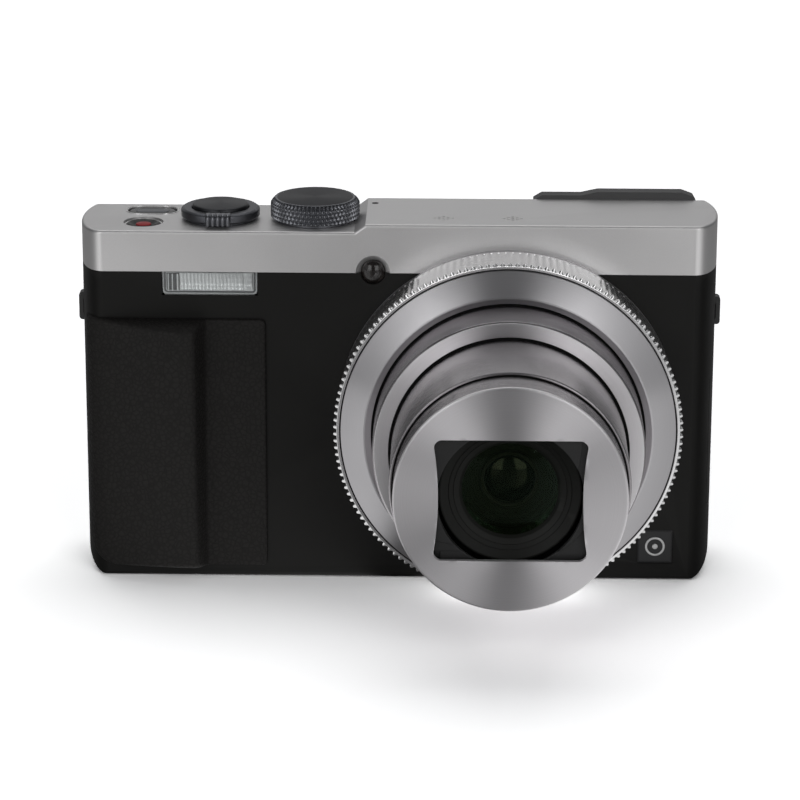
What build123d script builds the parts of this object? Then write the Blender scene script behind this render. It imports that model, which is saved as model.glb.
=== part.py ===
"""Compact travel-zoom digital camera, lens extended, as separate pieces.

Frame: origin at the mouth of the tripod socket in the base.  +Z is up, the
lens looks along -Y, +X is the camera's left-hand side seen from behind it.
Depths ("y") are measured from the flat front face of the body towards the
back, so the front face is y = 0 and the lens barrels have y < 0.
"""
from build123d import *
import os
from math import sin, cos, pi, radians, sqrt, copysign

os.makedirs("parts", exist_ok=True)

# ---------------------------------------------------------------- shared dimensions
SOCKET_Y = 10.5      # tripod socket axis behind the front face
HALF_FLAT = 51.0     # half width of the flat front and back faces
END_BULGE = 4.35     # bulge of each rounded end beyond the flat
DEPTH = 21.4         # body depth without the lens and controls
SPLIT_Y = 14.5       # joint line between front and rear cover
TOP_Y = 18.6         # back edge of the top cover
SKIRT_Z = 55.8       # lower edge of the top cover
REAR_Z = 62.4        # upper edge of the rear cover
TOP_Z = 64.4         # +X part of the top
DECK_Z = 63.0        # lower -X part of the top, under the dials
STEP_X0, STEP_X1 = -7.5, -5.6    # ramp between the two levels
WALL = 1.2
CORNER_R = 4.8       # lower corners seen from the front
EDGE_R = 0.9         # lower front and back edges

# Ends of cutters, all clear of the body
AHEAD, BEHIND = -1, 25
BELOW, ABOVE = -1, 70
BESIDE = 60

BUTTON_GAP = 0.07    # around buttons and shafts
PANEL_GAP = 0.03     # around windows and inlaid panels
BADGE_GAP = 0.02

LENS_X, LENS_Z = 19.1, 30.6      # lens axis
TUBE_R = 27.12       # sleeve the control ring turns on
LENS_HOLE_R = TUBE_R + 0.1

DIAL_X, DIAL_Y, DIAL_R, DIAL_SHAFT_R = -14.6, 9.5, 7.75, 1.5
LEVER_X, LEVER_Y, LEVER_R, LEVER_HUB_R = -31.1, 9.5, 6.85, 5.9
SHUTTER_R = 4.85
LEVER_BORE_R = SHUTTER_R + BUTTON_GAP
POWER_X, POWER_Y, POWER_L, POWER_W = -43.4, 14.5, 8.7, 5.1    # opening
MOVIE_X, MOVIE_Y, MOVIE_HOLE_R = -44.3, 6.4, 2.95

LAMP_X, LAMP_Z, LAMP_R = -4.3, 55.9, 2.1
FLASH_X0, FLASH_X1, FLASH_Z0 = -40.7, -24.25, 51.6

# Rounded openings seen from the front: x, z, width, height, corner radius
BADGE = (45.35, 6.25, 6.2, 6.2, 0.25)
LCD = (16.5, 30.0, 67.0, 49.0, 1.0)
THUMB_SEAT = (-41.5, 47.0, 18.0, 13.0, 2.2)
EYEPIECE_X, EYEPIECE_Z = 42.0, 60.6
EYEPIECE = (EYEPIECE_X, EYEPIECE_Z, 12.0, 7.0, 1.2)

BADGE_FLOOR_Y = 0.5
SEAT_DEPTH = 0.5     # seat of the thumb rest

REAR_HOLE_R = 2.6
REAR_BUTTONS = (     # name, x, z
    ("playback_button", -27.0, 47.5),
    ("wifi_button", -27.0, 36.5),
    ("display_button", -27.0, 7.5),
    ("delete_button", -49.5, 7.5),
)
EVF_BUTTON_X, EVF_BUTTON_Z, EVF_HOLE_R = 20.0, 58.6, 1.9
PAD_X, PAD_Z, PAD_SEAT_R, PAD_STEM_HOLE_R = -39.0, 22.0, 9.2, 3.0    # rear control dial

DOOR_X0, DOOR_X1, DOOR_Y0, DOOR_Y1 = -50.0, -13.0, 2.9, 13.9
DOOR_GAP = 0.15
PIN_X, PIN_Z, PIN_R = -11.4, 1.4, 0.6
KNUCKLE_YS = (5.4, 11.4)         # middles of the two hinge knuckles
KNUCKLE_HALF = 1.5

BASE_SCREWS = ((10.5, 4.2), (44.0, 4.2), (44.0, 11.5), (10.5, 12.4))    # x, y
SCREW_HEAD_R, SCREW_SHANK_R, SCREW_GAP = 1.3, 0.7, 0.05
SCREW_SEAT_Z = 0.7

LUG_Y0, LUG_Y1, LUG_Z0, LUG_Z1 = 8.0, 13.4, 42.6, 51.2        # slots in both ends
LUG_GAP = 0.1
FLAP_Z0, FLAP_Z1 = 13.0, 36.0    # connector door opening


# ---------------------------------------------------------------- planes
def at_x(x):
    """Upright plane facing +X; local axes are depth and Z."""
    return Plane(origin=(x, -SOCKET_Y, 0), x_dir=(0, 1, 0), z_dir=(1, 0, 0))


def at_y(y):
    """Upright plane at depth y; local axes are X and Z, normal forward."""
    return Plane(origin=(0, y - SOCKET_Y, 0), x_dir=(1, 0, 0), z_dir=(0, -1, 0))


def at_z(z):
    """Level plane at height z; local y runs back from the front face."""
    return Plane(origin=(0, -SOCKET_Y, z), x_dir=(1, 0, 0), z_dir=(0, 0, 1))


def lens_at(y):
    """Like at_y, with its origin on the lens axis."""
    return Plane(origin=(LENS_X, y - SOCKET_Y, LENS_Z), x_dir=(1, 0, 0), z_dir=(0, -1, 0))


SPLIT_PLANE = at_y(SPLIT_Y)
LENS_HALF = Plane(origin=(LENS_X, -SOCKET_Y, LENS_Z), x_dir=(1, 0, 0), z_dir=(0, 0, 1))
LENS_AXIS = Axis((LENS_X, -SOCKET_Y, LENS_Z), (0, 1, 0))


# ---------------------------------------------------------------- shape helpers
def body_block(inset, z0, z1, rounded=True):
    """Solid body outline, inset on its sides, between two heights.

    With rounded set, the lower corners follow the body; an uninset block
    also gets the softened lower front and back edges.
    """
    bulge, half_depth = END_BULGE - inset, DEPTH / 2 - inset
    with BuildPart() as block:
        with BuildSketch(at_z(z0)):
            with BuildLine():
                Line((-HALF_FLAT, inset), (HALF_FLAT, inset))
                EllipticalCenterArc((HALF_FLAT, DEPTH / 2), bulge, half_depth,
                                    start_angle=-90, arc_size=180)
                Line((HALF_FLAT, DEPTH - inset), (-HALF_FLAT, DEPTH - inset))
                EllipticalCenterArc((-HALF_FLAT, DEPTH / 2), bulge, half_depth,
                                    start_angle=90, arc_size=180)
            make_face()
        extrude(amount=z1 - z0)
        if rounded:
            with BuildSketch(at_y(DEPTH)):
                with Locations((0, inset + 60)):
                    RectangleRounded(2 * (HALF_FLAT + bulge), 120, CORNER_R - inset)
            extrude(amount=DEPTH, mode=Mode.INTERSECT)
            if inset == 0:
                with BuildSketch(at_x(-BESIDE)):
                    with Locations((DEPTH / 2, 60)):
                        RectangleRounded(DEPTH, 120, EDGE_R)
                extrude(amount=2 * BESIDE, mode=Mode.INTERSECT)
    return block.part


def box(x0, x1, y0, y1, z0, z1):
    with BuildPart() as block:
        with BuildSketch(at_z(z0)):
            with Locations(((x0 + x1) / 2, (y0 + y1) / 2)):
                Rectangle(x1 - x0, y1 - y0)
        extrude(amount=z1 - z0)
    return block.part


def lens_block(width, height, y0, y1):
    """Box centred on the lens axis."""
    return box(LENS_X - width / 2, LENS_X + width / 2, y0, y1,
               LENS_Z - height / 2, LENS_Z + height / 2)


def post(x, y, r, z0, z1):
    """Round piece standing upright."""
    with BuildPart() as cylinder:
        with BuildSketch(at_z(z0)):
            with Locations((x, y)):
                Circle(r)
        extrude(amount=z1 - z0)
    return cylinder.part


def peg(x, z, r, y0, y1):
    """Round piece lying front to back."""
    with BuildPart() as cylinder:
        with BuildSketch(at_y(y1)):
            with Locations((x, z)):
                Circle(r)
        extrude(amount=y1 - y0)
    return cylinder.part


def panel(opening, y0, y1, gap=0):
    """Rounded block filling an opening, less a gap all round."""
    x, z, width, height, corner = opening
    with BuildPart() as block:
        with BuildSketch(at_y(y1)):
            with Locations((x, z)):
                RectangleRounded(width - 2 * gap, height - 2 * gap, corner - gap)
        extrude(amount=y1 - y0)
    return block.part


def prism(plane, points, length):
    """Closed outline on a plane, extruded along its normal."""
    with BuildPart() as block:
        with BuildSketch(plane):
            with BuildLine():
                Polyline(*points, close=True)
            make_face()
        extrude(amount=length)
    return block.part


def turned(points):
    """Closed (radius, y) section turned about the lens axis."""
    with BuildPart() as ring:
        with BuildSketch(LENS_HALF):
            with BuildLine():
                Polyline(*points, close=True)
            make_face()
        revolve(axis=LENS_AXIS)
    return ring.part


def cap_arc(r, y_edge, y_apex):
    """Three points, apex to edge, of a spherical cap centred on the axis."""
    sag = y_apex - y_edge
    sphere_r = (r * r + sag * sag) / (2 * abs(sag))
    mid_drop = sphere_r - sqrt(sphere_r * sphere_r - r * r / 4)
    return (0, y_apex), (r / 2, y_apex - copysign(mid_drop, sag)), (r, y_edge)


def biconvex(r, front_edge, front_apex, back_edge, back_apex):
    """Lens element bulging to the front and the back."""
    with BuildPart() as element:
        with BuildSketch(LENS_HALF):
            with BuildLine():
                ThreePointArc(*cap_arc(r, front_edge, front_apex))
                Line((r, front_edge), (r, back_edge))
                ThreePointArc(*cap_arc(r, back_edge, back_apex)[::-1])
                Line((0, back_apex), (0, front_apex))
            make_face()
        revolve(axis=LENS_AXIS)
    return element.part


def save(name, part):
    part.label = name
    export_step(part, f"parts/{name}.step")


outer_low = body_block(0, 0, SKIRT_Z)
inner_low = body_block(WALL, WALL, SKIRT_Z + 2)
lens_hole = peg(LENS_X, LENS_Z, LENS_HOLE_R, -2, 4)
lamp_notch = peg(LAMP_X, LAMP_Z, LAMP_R + PANEL_GAP, AHEAD, 3)
socket_hole = post(0, SOCKET_Y, 5.0, BELOW, 2)

# ---------------------------------------------------------------- front cover
with BuildPart() as front_cover:
    add(outer_low)
    add(inner_low, mode=Mode.SUBTRACT)
    split(bisect_by=SPLIT_PLANE, keep=Keep.TOP)
    add(lens_hole, mode=Mode.SUBTRACT)
    # flash window notch
    add(box(FLASH_X0 - PANEL_GAP, FLASH_X1 + PANEL_GAP, AHEAD, 4,
            FLASH_Z0 - PANEL_GAP, SKIRT_Z + 1), mode=Mode.SUBTRACT)
    add(lamp_notch, mode=Mode.SUBTRACT)
    add(panel(BADGE, -0.5, BADGE_FLOOR_Y), mode=Mode.SUBTRACT)
    # battery door opening with hinge notches
    add(box(DOOR_X0 - DOOR_GAP, DOOR_X1 + DOOR_GAP, DOOR_Y0 - DOOR_GAP, DOOR_Y1 + DOOR_GAP,
            BELOW, 2), mode=Mode.SUBTRACT)
    for y in KNUCKLE_YS:
        add(box(DOOR_X1 - 0.5, PIN_X + 1.6, y - KNUCKLE_HALF - DOOR_GAP,
                y + KNUCKLE_HALF + DOOR_GAP, BELOW, 2), mode=Mode.SUBTRACT)
    add(peg(PIN_X, PIN_Z, PIN_R + 0.02, 2.9, 14.2), mode=Mode.SUBTRACT)
    add(socket_hole, mode=Mode.SUBTRACT)
    for x, y in BASE_SCREWS:
        add(post(x, y, SCREW_HEAD_R + SCREW_GAP, BELOW, SCREW_SEAT_Z), mode=Mode.SUBTRACT)
        add(post(x, y, SCREW_SHANK_R + SCREW_GAP, 0, 2), mode=Mode.SUBTRACT)
    # strap lug slots in both ends
    for x0, x1 in ((-57, -52), (52, 57)):
        add(box(x0, x1, LUG_Y0, LUG_Y1, LUG_Z0, LUG_Z1), mode=Mode.SUBTRACT)
    # connector door opening in the +X end
    add(box(50.5, 57, 3.84, 12.6, FLAP_Z0, FLAP_Z1), mode=Mode.SUBTRACT)
save("front_cover", front_cover.part)

# ---------------------------------------------------------------- rear cover
with BuildPart() as rear_cover:
    add(body_block(0, 0, REAR_Z))
    # rounded upper back edge
    with BuildSketch(at_x(-BESIDE)):
        RectangleRounded(2 * DEPTH, 2 * REAR_Z, 1.6)
    extrude(amount=2 * BESIDE, mode=Mode.INTERSECT)
    add(body_block(WALL, WALL, REAR_Z - WALL), mode=Mode.SUBTRACT)
    split(bisect_by=SPLIT_PLANE, keep=Keep.BOTTOM)
    # room for the top cover, then for the viewfinder housing
    add(box(-BESIDE, BESIDE, 5, TOP_Y, SKIRT_Z, ABOVE), mode=Mode.SUBTRACT)
    add(box(23.4, 52.4, 15, BEHIND, 55.95, ABOVE), mode=Mode.SUBTRACT)
    add(socket_hole, mode=Mode.SUBTRACT)
    add(panel(LCD, DEPTH - 3, DEPTH + 1), mode=Mode.SUBTRACT)
    # rear buttons and control dial
    for _, x, z in REAR_BUTTONS:
        add(peg(x, z, REAR_HOLE_R, 15, BEHIND), mode=Mode.SUBTRACT)
    add(peg(EVF_BUTTON_X, EVF_BUTTON_Z, EVF_HOLE_R, 18.7, BEHIND), mode=Mode.SUBTRACT)
    add(peg(PAD_X, PAD_Z, PAD_SEAT_R, 20.6, BEHIND), mode=Mode.SUBTRACT)
    add(peg(PAD_X, PAD_Z, PAD_STEM_HOLE_R, 15, BEHIND), mode=Mode.SUBTRACT)
    add(panel(THUMB_SEAT, DEPTH - SEAT_DEPTH, DEPTH), mode=Mode.SUBTRACT)
save("rear_cover", rear_cover.part)

# ---------------------------------------------------------------- top cover
TOP_WALL = 1.0       # front and ends
DECK_WALL = 1.2
MIC_XS = (7.8, 19.7)
MIC_Y, MIC_R = 4.9, 0.26
MIC_PITCH_X, MIC_PITCH_Y = 0.75, 1.1
MIC_COLUMNS = ((-2, 1), (-1, 2), (0, 3), (1, 2), (2, 1))    # column, holes in it
ramp = [(-BESIDE, DECK_Z), (STEP_X0, DECK_Z), (STEP_X1, TOP_Z), (STEP_X1, ABOVE),
        (-BESIDE, ABOVE)]

with BuildPart() as top_cover:
    add(body_block(0, SKIRT_Z, TOP_Z, rounded=False))
    # lower deck under the dials with its short ramp
    add(prism(at_y(DEPTH + 1), ramp, DEPTH + 3), mode=Mode.SUBTRACT)
    split(bisect_by=at_y(TOP_Y), keep=Keep.TOP)
    # softened front edges of the deck
    fillet(top_cover.edges().filter_by(
        lambda e: e.center().Z > DECK_Z - 0.01 and e.center().Y < -SOCKET_Y + 0.01), 0.5)
    # hollow underside, deeper under the raised part
    add(body_block(TOP_WALL, SKIRT_Z - 1, DECK_Z - DECK_WALL), mode=Mode.SUBTRACT)
    with BuildPart(mode=Mode.PRIVATE) as raised_pocket:
        add(body_block(TOP_WALL, 60, TOP_Z - DECK_WALL))
        add(box(-BESIDE, STEP_X1 + 1.0, -2, 30, 59, ABOVE), mode=Mode.SUBTRACT)
    add(raised_pocket.part, mode=Mode.SUBTRACT)
    add(lens_hole, mode=Mode.SUBTRACT)
    # lamp notch with a conical lead-in
    add(lamp_notch, mode=Mode.SUBTRACT)
    with BuildPart(mode=Mode.PRIVATE) as lamp_cone:
        with BuildSketch(at_y(0.8)):
            with Locations((LAMP_X, LAMP_Z)):
                Circle(LAMP_R + PANEL_GAP)
        with BuildSketch(at_y(-0.05)):
            with Locations((LAMP_X, LAMP_Z)):
                Circle(LAMP_R + 0.95)
        loft()
    add(lamp_cone.part, mode=Mode.SUBTRACT)
    # deck openings: dial shaft, lever hub, two buttons
    add(post(DIAL_X, DIAL_Y, DIAL_SHAFT_R + BUTTON_GAP, 58, ABOVE), mode=Mode.SUBTRACT)
    add(post(LEVER_X, LEVER_Y, LEVER_HUB_R + BUTTON_GAP, 58, ABOVE), mode=Mode.SUBTRACT)
    with BuildSketch(at_z(DECK_Z)):
        with Locations((POWER_X, POWER_Y)):
            SlotOverall(POWER_L, POWER_W)
    extrude(amount=-3, mode=Mode.SUBTRACT)
    add(post(MOVIE_X, MOVIE_Y, MOVIE_HOLE_R + 0.5, DECK_Z - 0.55, ABOVE), mode=Mode.SUBTRACT)
    add(post(MOVIE_X, MOVIE_Y, MOVIE_HOLE_R, 58, ABOVE), mode=Mode.SUBTRACT)
    # microphone holes, two diamond clusters
    for mic_x in MIC_XS:
        for column, count in MIC_COLUMNS:
            for row in range(count):
                add(post(mic_x + column * MIC_PITCH_X,
                         MIC_Y + (row - (count - 1) / 2) * MIC_PITCH_Y,
                         MIC_R, 60, ABOVE), mode=Mode.SUBTRACT)
    # indicator hole beside the mode dial
    add(post(-4.3, 15.0, 0.45, 60, ABOVE), mode=Mode.SUBTRACT)
save("top_cover", top_cover.part)

# ---------------------------------------------------------------- hand grip
GRIP_Z0, GRIP_Z1 = 2.2, 47.5
GRIP_PLAN = [        # x, y seen from above
    (-22.8, 0.0), (-22.8, -0.6), (-33.4, -0.65), (-34.2, -2.6), (-34.9, -4.6),
    (-35.9, -5.0), (-38.5, -4.75), (-42.0, -4.0), (-46.0, -2.9), (-50.0, -1.5),
    (-52.3, -0.3), (-53.6, 1.0), (-54.25, 2.4), (-54.25, 3.2), (-52.0, 3.2), (-51.0, 0.0),
]
GRIP_SIDE = [        # y, z seen from the end: rounded head and foot of the ridge
    (6, GRIP_Z0), (-0.4, GRIP_Z0), (-3.2, 2.4), (-4.6, 3.2), (-5.2, 4.9),
    (-5.2, 44.4), (-4.6, 46.0), (-3.2, 46.9), (-0.4, GRIP_Z1), (6, GRIP_Z1),
]
GRIP_CORNER = [      # x, z cut away so the lower corner follows the body
    (-49.2, 1.0), (-49.2, 2.2), (-50.8, 2.45), (-52.2, 3.1), (-53.3, 4.1),
    (-54.0, 5.4), (-54.3, 7.0), (-56.5, 7.0), (-56.5, 1.0),
]
with BuildPart() as grip:
    with BuildSketch(at_z(GRIP_Z0)):
        with BuildLine():
            Polyline(*GRIP_PLAN, close=True)
        make_face()
    extrude(amount=GRIP_Z1 - GRIP_Z0)
    add(outer_low, mode=Mode.SUBTRACT)
    fillet(grip.edges().filter_by(Axis.Z).sort_by(Axis.X)[-1:], 0.3)
    with BuildSketch(at_x(-BESIDE)):
        with BuildLine():
            Polyline(*GRIP_SIDE, close=True)
        make_face()
    extrude(amount=50, mode=Mode.INTERSECT)
    with BuildSketch(at_y(8)):
        with BuildLine():
            Polyline(*GRIP_CORNER, close=True)
        make_face()
    extrude(amount=16, mode=Mode.SUBTRACT)
save("grip", grip.part)

# ---------------------------------------------------------------- lens, fixed parts
# Turned sections below are lists of (radius, y).
FLANGE_R = 29.44
RING_TIP_R, RING_ROOT_R, RING_BORE_R = 29.94, 29.5, 27.2
RING_TEETH = 150
RING_Y0, RING_Y1 = -10.5, -1.1
HOUSING_R, HOUSING_BORE_R = 26.5, 23.07
HOUSING_Y0, HOUSING_Y1 = -10.0, 15.2
HOUSING_FLOOR_Y = 14.0
TUBE_END_Y = -9.9

save("lens_flange_ring", turned([
    (HOUSING_R, 0.0), (FLANGE_R, 0.0), (FLANGE_R, -1.0), (TUBE_R, -1.0),
    (TUBE_R, TUBE_END_Y), (HOUSING_R, TUBE_END_Y)]))

with BuildPart() as control_ring:
    with BuildSketch(lens_at(RING_Y1)):
        with BuildLine():
            teeth = []
            for i in range(RING_TEETH):
                tip = 2 * pi * i / RING_TEETH
                root = 2 * pi * (i + 0.5) / RING_TEETH
                teeth.append((RING_TIP_R * cos(tip), RING_TIP_R * sin(tip)))
                teeth.append((RING_ROOT_R * cos(root), RING_ROOT_R * sin(root)))
            Polyline(*teeth, close=True)
        make_face()
        Circle(RING_BORE_R, mode=Mode.SUBTRACT)
    extrude(amount=RING_Y1 - RING_Y0)
    # recess in the front for the trim ring
    add(peg(LENS_X, LENS_Z, 28.95, -11.0, -10.0), mode=Mode.SUBTRACT)
save("control_ring", control_ring.part)

save("lens_trim_ring", turned([
    (23.3, HOUSING_Y0), (HOUSING_R, HOUSING_Y0), (HOUSING_R, TUBE_END_Y),
    (TUBE_R, TUBE_END_Y), (TUBE_R, -10.1), (28.75, -10.1), (28.75, -10.6),
    (24.75, -13.0), (24.4, -13.0), (23.3, -12.3)]))

with BuildPart() as lens_housing:
    add(turned([
        (HOUSING_BORE_R, HOUSING_Y0), (HOUSING_R, HOUSING_Y0), (HOUSING_R, HOUSING_Y1),
        (0, HOUSING_Y1), (0, HOUSING_FLOOR_Y), (HOUSING_BORE_R, HOUSING_FLOOR_Y)]))
    # sensor aperture in the back wall
    add(lens_block(9.0, 7.4, 12.0, 16.0), mode=Mode.SUBTRACT)
save("lens_housing", lens_housing.part)

# ---------------------------------------------------------------- lens barrels
OUTER_R, OUTER_BORE_R, OUTER_Y0 = 23.0, 21.6, -21.8
OUTER_Y1 = OUTER_Y0 + 24.0
MID_R, MID_BORE_R, MID_Y0 = 19.8, 19.17, -39.8
MID_Y1 = MID_Y0 + 24.0
MID_COLLAR_R = OUTER_BORE_R - 0.07
MID_COLLAR_Y = MID_Y1 - 1.5
NOSE_R, NOSE_BORE_R, NOSE_Y0 = 19.1, 17.9, -46.2
NOSE_Y1 = NOSE_Y0 + 23.0
PLATE_BACK_Y = NOSE_Y0 + 0.8     # back of the front plate

save("barrel_outer", turned([
    (19.87, OUTER_Y0 + 1.2), (19.87, OUTER_Y0 + 0.1), (20.1, OUTER_Y0), (22.6, OUTER_Y0),
    (OUTER_R, OUTER_Y0 + 0.4), (OUTER_R, OUTER_Y1), (OUTER_BORE_R, OUTER_Y1),
    (OUTER_BORE_R, OUTER_Y0 + 1.2)]))

save("barrel_middle", turned([
    (MID_BORE_R, MID_Y0), (MID_R - 0.15, MID_Y0), (MID_R, MID_Y0 + 0.15),
    (MID_R, MID_COLLAR_Y), (MID_COLLAR_R, MID_COLLAR_Y), (MID_COLLAR_R, MID_Y1),
    (MID_BORE_R, MID_Y1)]))

save("barrel_front", turned([
    (NOSE_BORE_R, PLATE_BACK_Y), (NOSE_R, PLATE_BACK_Y), (NOSE_R, NOSE_Y1),
    (NOSE_BORE_R, NOSE_Y1)]))

# Upper blade pivot from the lens axis; the lower one is opposite
PIVOT_X, PIVOT_Z, PIVOT_R = -13.6, -2.0, 0.6
# Half sizes of the barrel-front opening; its sides bow in to the waist
OPEN_HALF_W, OPEN_HALF_WAIST, OPEN_HALF_H = 12.6, 11.7, 10.25
with BuildPart() as lens_front_plate:
    add(turned([
        (0, PLATE_BACK_Y), (NOSE_R, PLATE_BACK_Y), (NOSE_R, NOSE_Y0 + 0.5),
        (NOSE_R - 0.2, NOSE_Y0 + 0.3), (18.5, NOSE_Y0 + 0.3), (12.0, NOSE_Y0), (0, NOSE_Y0)]))
    with BuildSketch(lens_at(NOSE_Y0 + 2)) as opening:
        with BuildLine():
            ThreePointArc((-OPEN_HALF_W, -OPEN_HALF_H), (-OPEN_HALF_WAIST, 0),
                          (-OPEN_HALF_W, OPEN_HALF_H))
            Line((-OPEN_HALF_W, OPEN_HALF_H), (OPEN_HALF_W, OPEN_HALF_H))
            ThreePointArc((OPEN_HALF_W, OPEN_HALF_H), (OPEN_HALF_WAIST, 0),
                          (OPEN_HALF_W, -OPEN_HALF_H))
            Line((OPEN_HALF_W, -OPEN_HALF_H), (-OPEN_HALF_W, -OPEN_HALF_H))
        make_face()
        fillet(opening.vertices(), 1.5)
    extrude(amount=4, mode=Mode.SUBTRACT)
    # pivot pin of the upper blades, standing on the back of the plate
    add(peg(LENS_X + PIVOT_X, LENS_Z + PIVOT_Z, PIVOT_R, NOSE_Y0 + 0.6, -44.58))
save("lens_front_plate", lens_front_plate.part)

# ---------------------------------------------------------------- barrier blades
# Crescents parked outside the front element, each trimmed so that its closed
# position stays inside the barrel
BLADE_R, BLADE_BORE_R, BLADE_T = 17.7, 11.95, 0.3
BLADE_Y, BLADE_PITCH = -45.0, 0.38    # back of the foremost blade, step to the next
BLADES = (           # name, closing swing in degrees, turned to the lower side
    ("barrier_blade_upper_inner", 50, False),
    ("barrier_blade_upper_outer", 25, False),
    ("barrier_blade_lower_inner", 50, True),
    ("barrier_blade_lower_outer", 25, True),
)


def blade(y, swing, lower):
    angle = radians(swing)
    # lens axis swung about the pivot
    swung_x = PIVOT_X - cos(angle) * PIVOT_X + sin(angle) * PIVOT_Z
    swung_z = PIVOT_Z - sin(angle) * PIVOT_X - cos(angle) * PIVOT_Z
    with BuildPart() as crescent:
        with BuildSketch(lens_at(y)):
            Circle(BLADE_R)
            Circle(BLADE_BORE_R, mode=Mode.SUBTRACT)
            # keep what lies above z = -9 from the lens axis
            with Locations((0, 5.5)):
                Rectangle(40, 29, mode=Mode.INTERSECT)
            with Locations((swung_x, swung_z)):
                Circle(BLADE_R, mode=Mode.INTERSECT)
            with Locations((PIVOT_X, PIVOT_Z)):
                Circle(PIVOT_R + 0.08, mode=Mode.SUBTRACT)
        extrude(amount=BLADE_T)
    largest = crescent.part.solids().sort_by(SortBy.VOLUME)[-1]
    return largest.rotate(LENS_AXIS, 180) if lower else largest


for i, (name, swing, lower) in enumerate(BLADES):
    with BuildPart() as barrier_blade:
        add(blade(BLADE_Y + i * BLADE_PITCH, swing, lower))
    save(name, barrier_blade.part)

# ---------------------------------------------------------------- optics
FRONT_LENS_R, ZOOM_LENS_R, IRIS_R = 7.85, 6.5, 4.2
ZOOM_SLIDE_R = NOSE_BORE_R - 0.06

with BuildPart() as front_lens_holder:
    add(turned([
        (FRONT_LENS_R, -40.1), (8.3, -40.6), (11.4, -42.2), (11.7, -42.2), (11.7, -38.5),
        (NOSE_BORE_R, -38.5), (NOSE_BORE_R, -37.0), (9.3, -37.0), (9.3, -36.0),
        (FRONT_LENS_R, -36.0)]))
    # pivot pin of the lower blades, standing on the flange
    add(peg(LENS_X - PIVOT_X, LENS_Z - PIVOT_Z, PIVOT_R, -44.56, -38.0))
save("front_lens_holder", front_lens_holder.part)

save("front_lens", biconvex(FRONT_LENS_R, front_edge=-40.05, front_apex=-40.95,
                            back_edge=-37.2, back_apex=-36.4))

save("iris_shutter_unit", turned([
    (IRIS_R, -34.0), (17.0, -34.0), (17.0, -34.6), (NOSE_BORE_R, -34.6),
    (NOSE_BORE_R, -33.0), (15.5, -33.0), (15.5, -31.6), (IRIS_R, -31.6)]))

save("zoom_group_holder", turned([
    (ZOOM_LENS_R, -28.5), (12.0, -28.5), (12.0, -27.5), (ZOOM_SLIDE_R, -27.5),
    (ZOOM_SLIDE_R, -25.2), (12.0, -25.2), (12.0, -24.0), (ZOOM_LENS_R, -24.0)]))

save("zoom_lens", biconvex(ZOOM_LENS_R, front_edge=-27.2, front_apex=-28.0,
                           back_edge=-25.4, back_apex=-24.6))

save("focus_lens", turned([
    (0, 12.4), (4.6, 12.6), (4.6, HOUSING_FLOOR_Y), (0, HOUSING_FLOOR_Y)]))

with BuildPart() as image_sensor:
    add(lens_block(14.0, 11.0, HOUSING_Y1, 16.6))
    add(lens_block(8.9, 7.3, 14.4, HOUSING_Y1))
save("image_sensor", image_sensor.part)

MOTOR_X, MOTOR_Z = 48.0, 49.0
with BuildPart() as zoom_motor:
    add(peg(MOTOR_X, MOTOR_Z, 3.0, 1.2, 12.0))
    add(peg(MOTOR_X, MOTOR_Z, 0.75, 12.0, 14.2))
save("zoom_motor", zoom_motor.part)

# ---------------------------------------------------------------- flash, lamp, badge
FLASH_T = 1.1
REFLECTOR_SECTION = [    # y, z of the trough: outer side, then inner side
    (FLASH_T, 51.7), (1.5, 51.7), (4.2, 52.8), (5.2, 53.9), (4.2, 54.9), (1.5, 55.7),
    (FLASH_T, 55.7), (FLASH_T, 55.3), (3.8, 54.5), (4.6, 53.9), (3.8, 53.2), (FLASH_T, 52.1),
]
with BuildPart() as flash_window:
    with BuildSketch(at_y(FLASH_T)) as window:
        with Locations(((FLASH_X0 + FLASH_X1) / 2, (FLASH_Z0 + SKIRT_Z) / 2)):
            Rectangle(FLASH_X1 - FLASH_X0, SKIRT_Z - FLASH_Z0)
        fillet(window.vertices().group_by(Axis.Z)[0], 0.8)
    extrude(amount=FLASH_T)
save("flash_window", flash_window.part)

save("flash_reflector", prism(at_x(-37.5), REFLECTOR_SECTION, 12.8))

with BuildPart() as flash_capacitor:
    with BuildSketch(at_x(-48.0)):
        with Locations((10.2, 51.0)):
            Circle(3.6)
    extrude(amount=27.0)
save("flash_capacitor", flash_capacitor.part)

LAMP_EDGE_Y, LAMP_APEX_Y, LAMP_BACK_Y = 0.7, -0.25, 3.0
with BuildPart() as af_lamp:
    with BuildSketch(Plane(origin=(LAMP_X, -SOCKET_Y, LAMP_Z), x_dir=(1, 0, 0),
                           z_dir=(0, 0, 1))):
        with BuildLine():
            ThreePointArc(*cap_arc(LAMP_R, LAMP_EDGE_Y, LAMP_APEX_Y))
            Polyline((LAMP_R, LAMP_EDGE_Y), (LAMP_R, LAMP_BACK_Y), (0, LAMP_BACK_Y),
                     (0, LAMP_APEX_Y))
        make_face()
    revolve(axis=Axis((LAMP_X, -SOCKET_Y, LAMP_Z), (0, 1, 0)))
save("af_lamp", af_lamp.part)

save("badge_plate", panel(BADGE, BADGE_FLOOR_Y - 0.35, BADGE_FLOOR_Y, gap=BADGE_GAP))

# ---------------------------------------------------------------- top controls
KNOB_Z0, KNOB_Z1 = 63.5, 66.95
with BuildPart() as mode_dial:
    add(post(DIAL_X, DIAL_Y, 7.0, DECK_Z + 0.02, KNOB_Z0))
    add(post(DIAL_X, DIAL_Y, DIAL_R, KNOB_Z0, KNOB_Z1))
    fillet(mode_dial.edges().group_by(Axis.Z)[-1], 0.3)
    add(post(DIAL_X, DIAL_Y, DIAL_SHAFT_R, 58.0, 63.1))
save("mode_dial", mode_dial.part)

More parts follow.
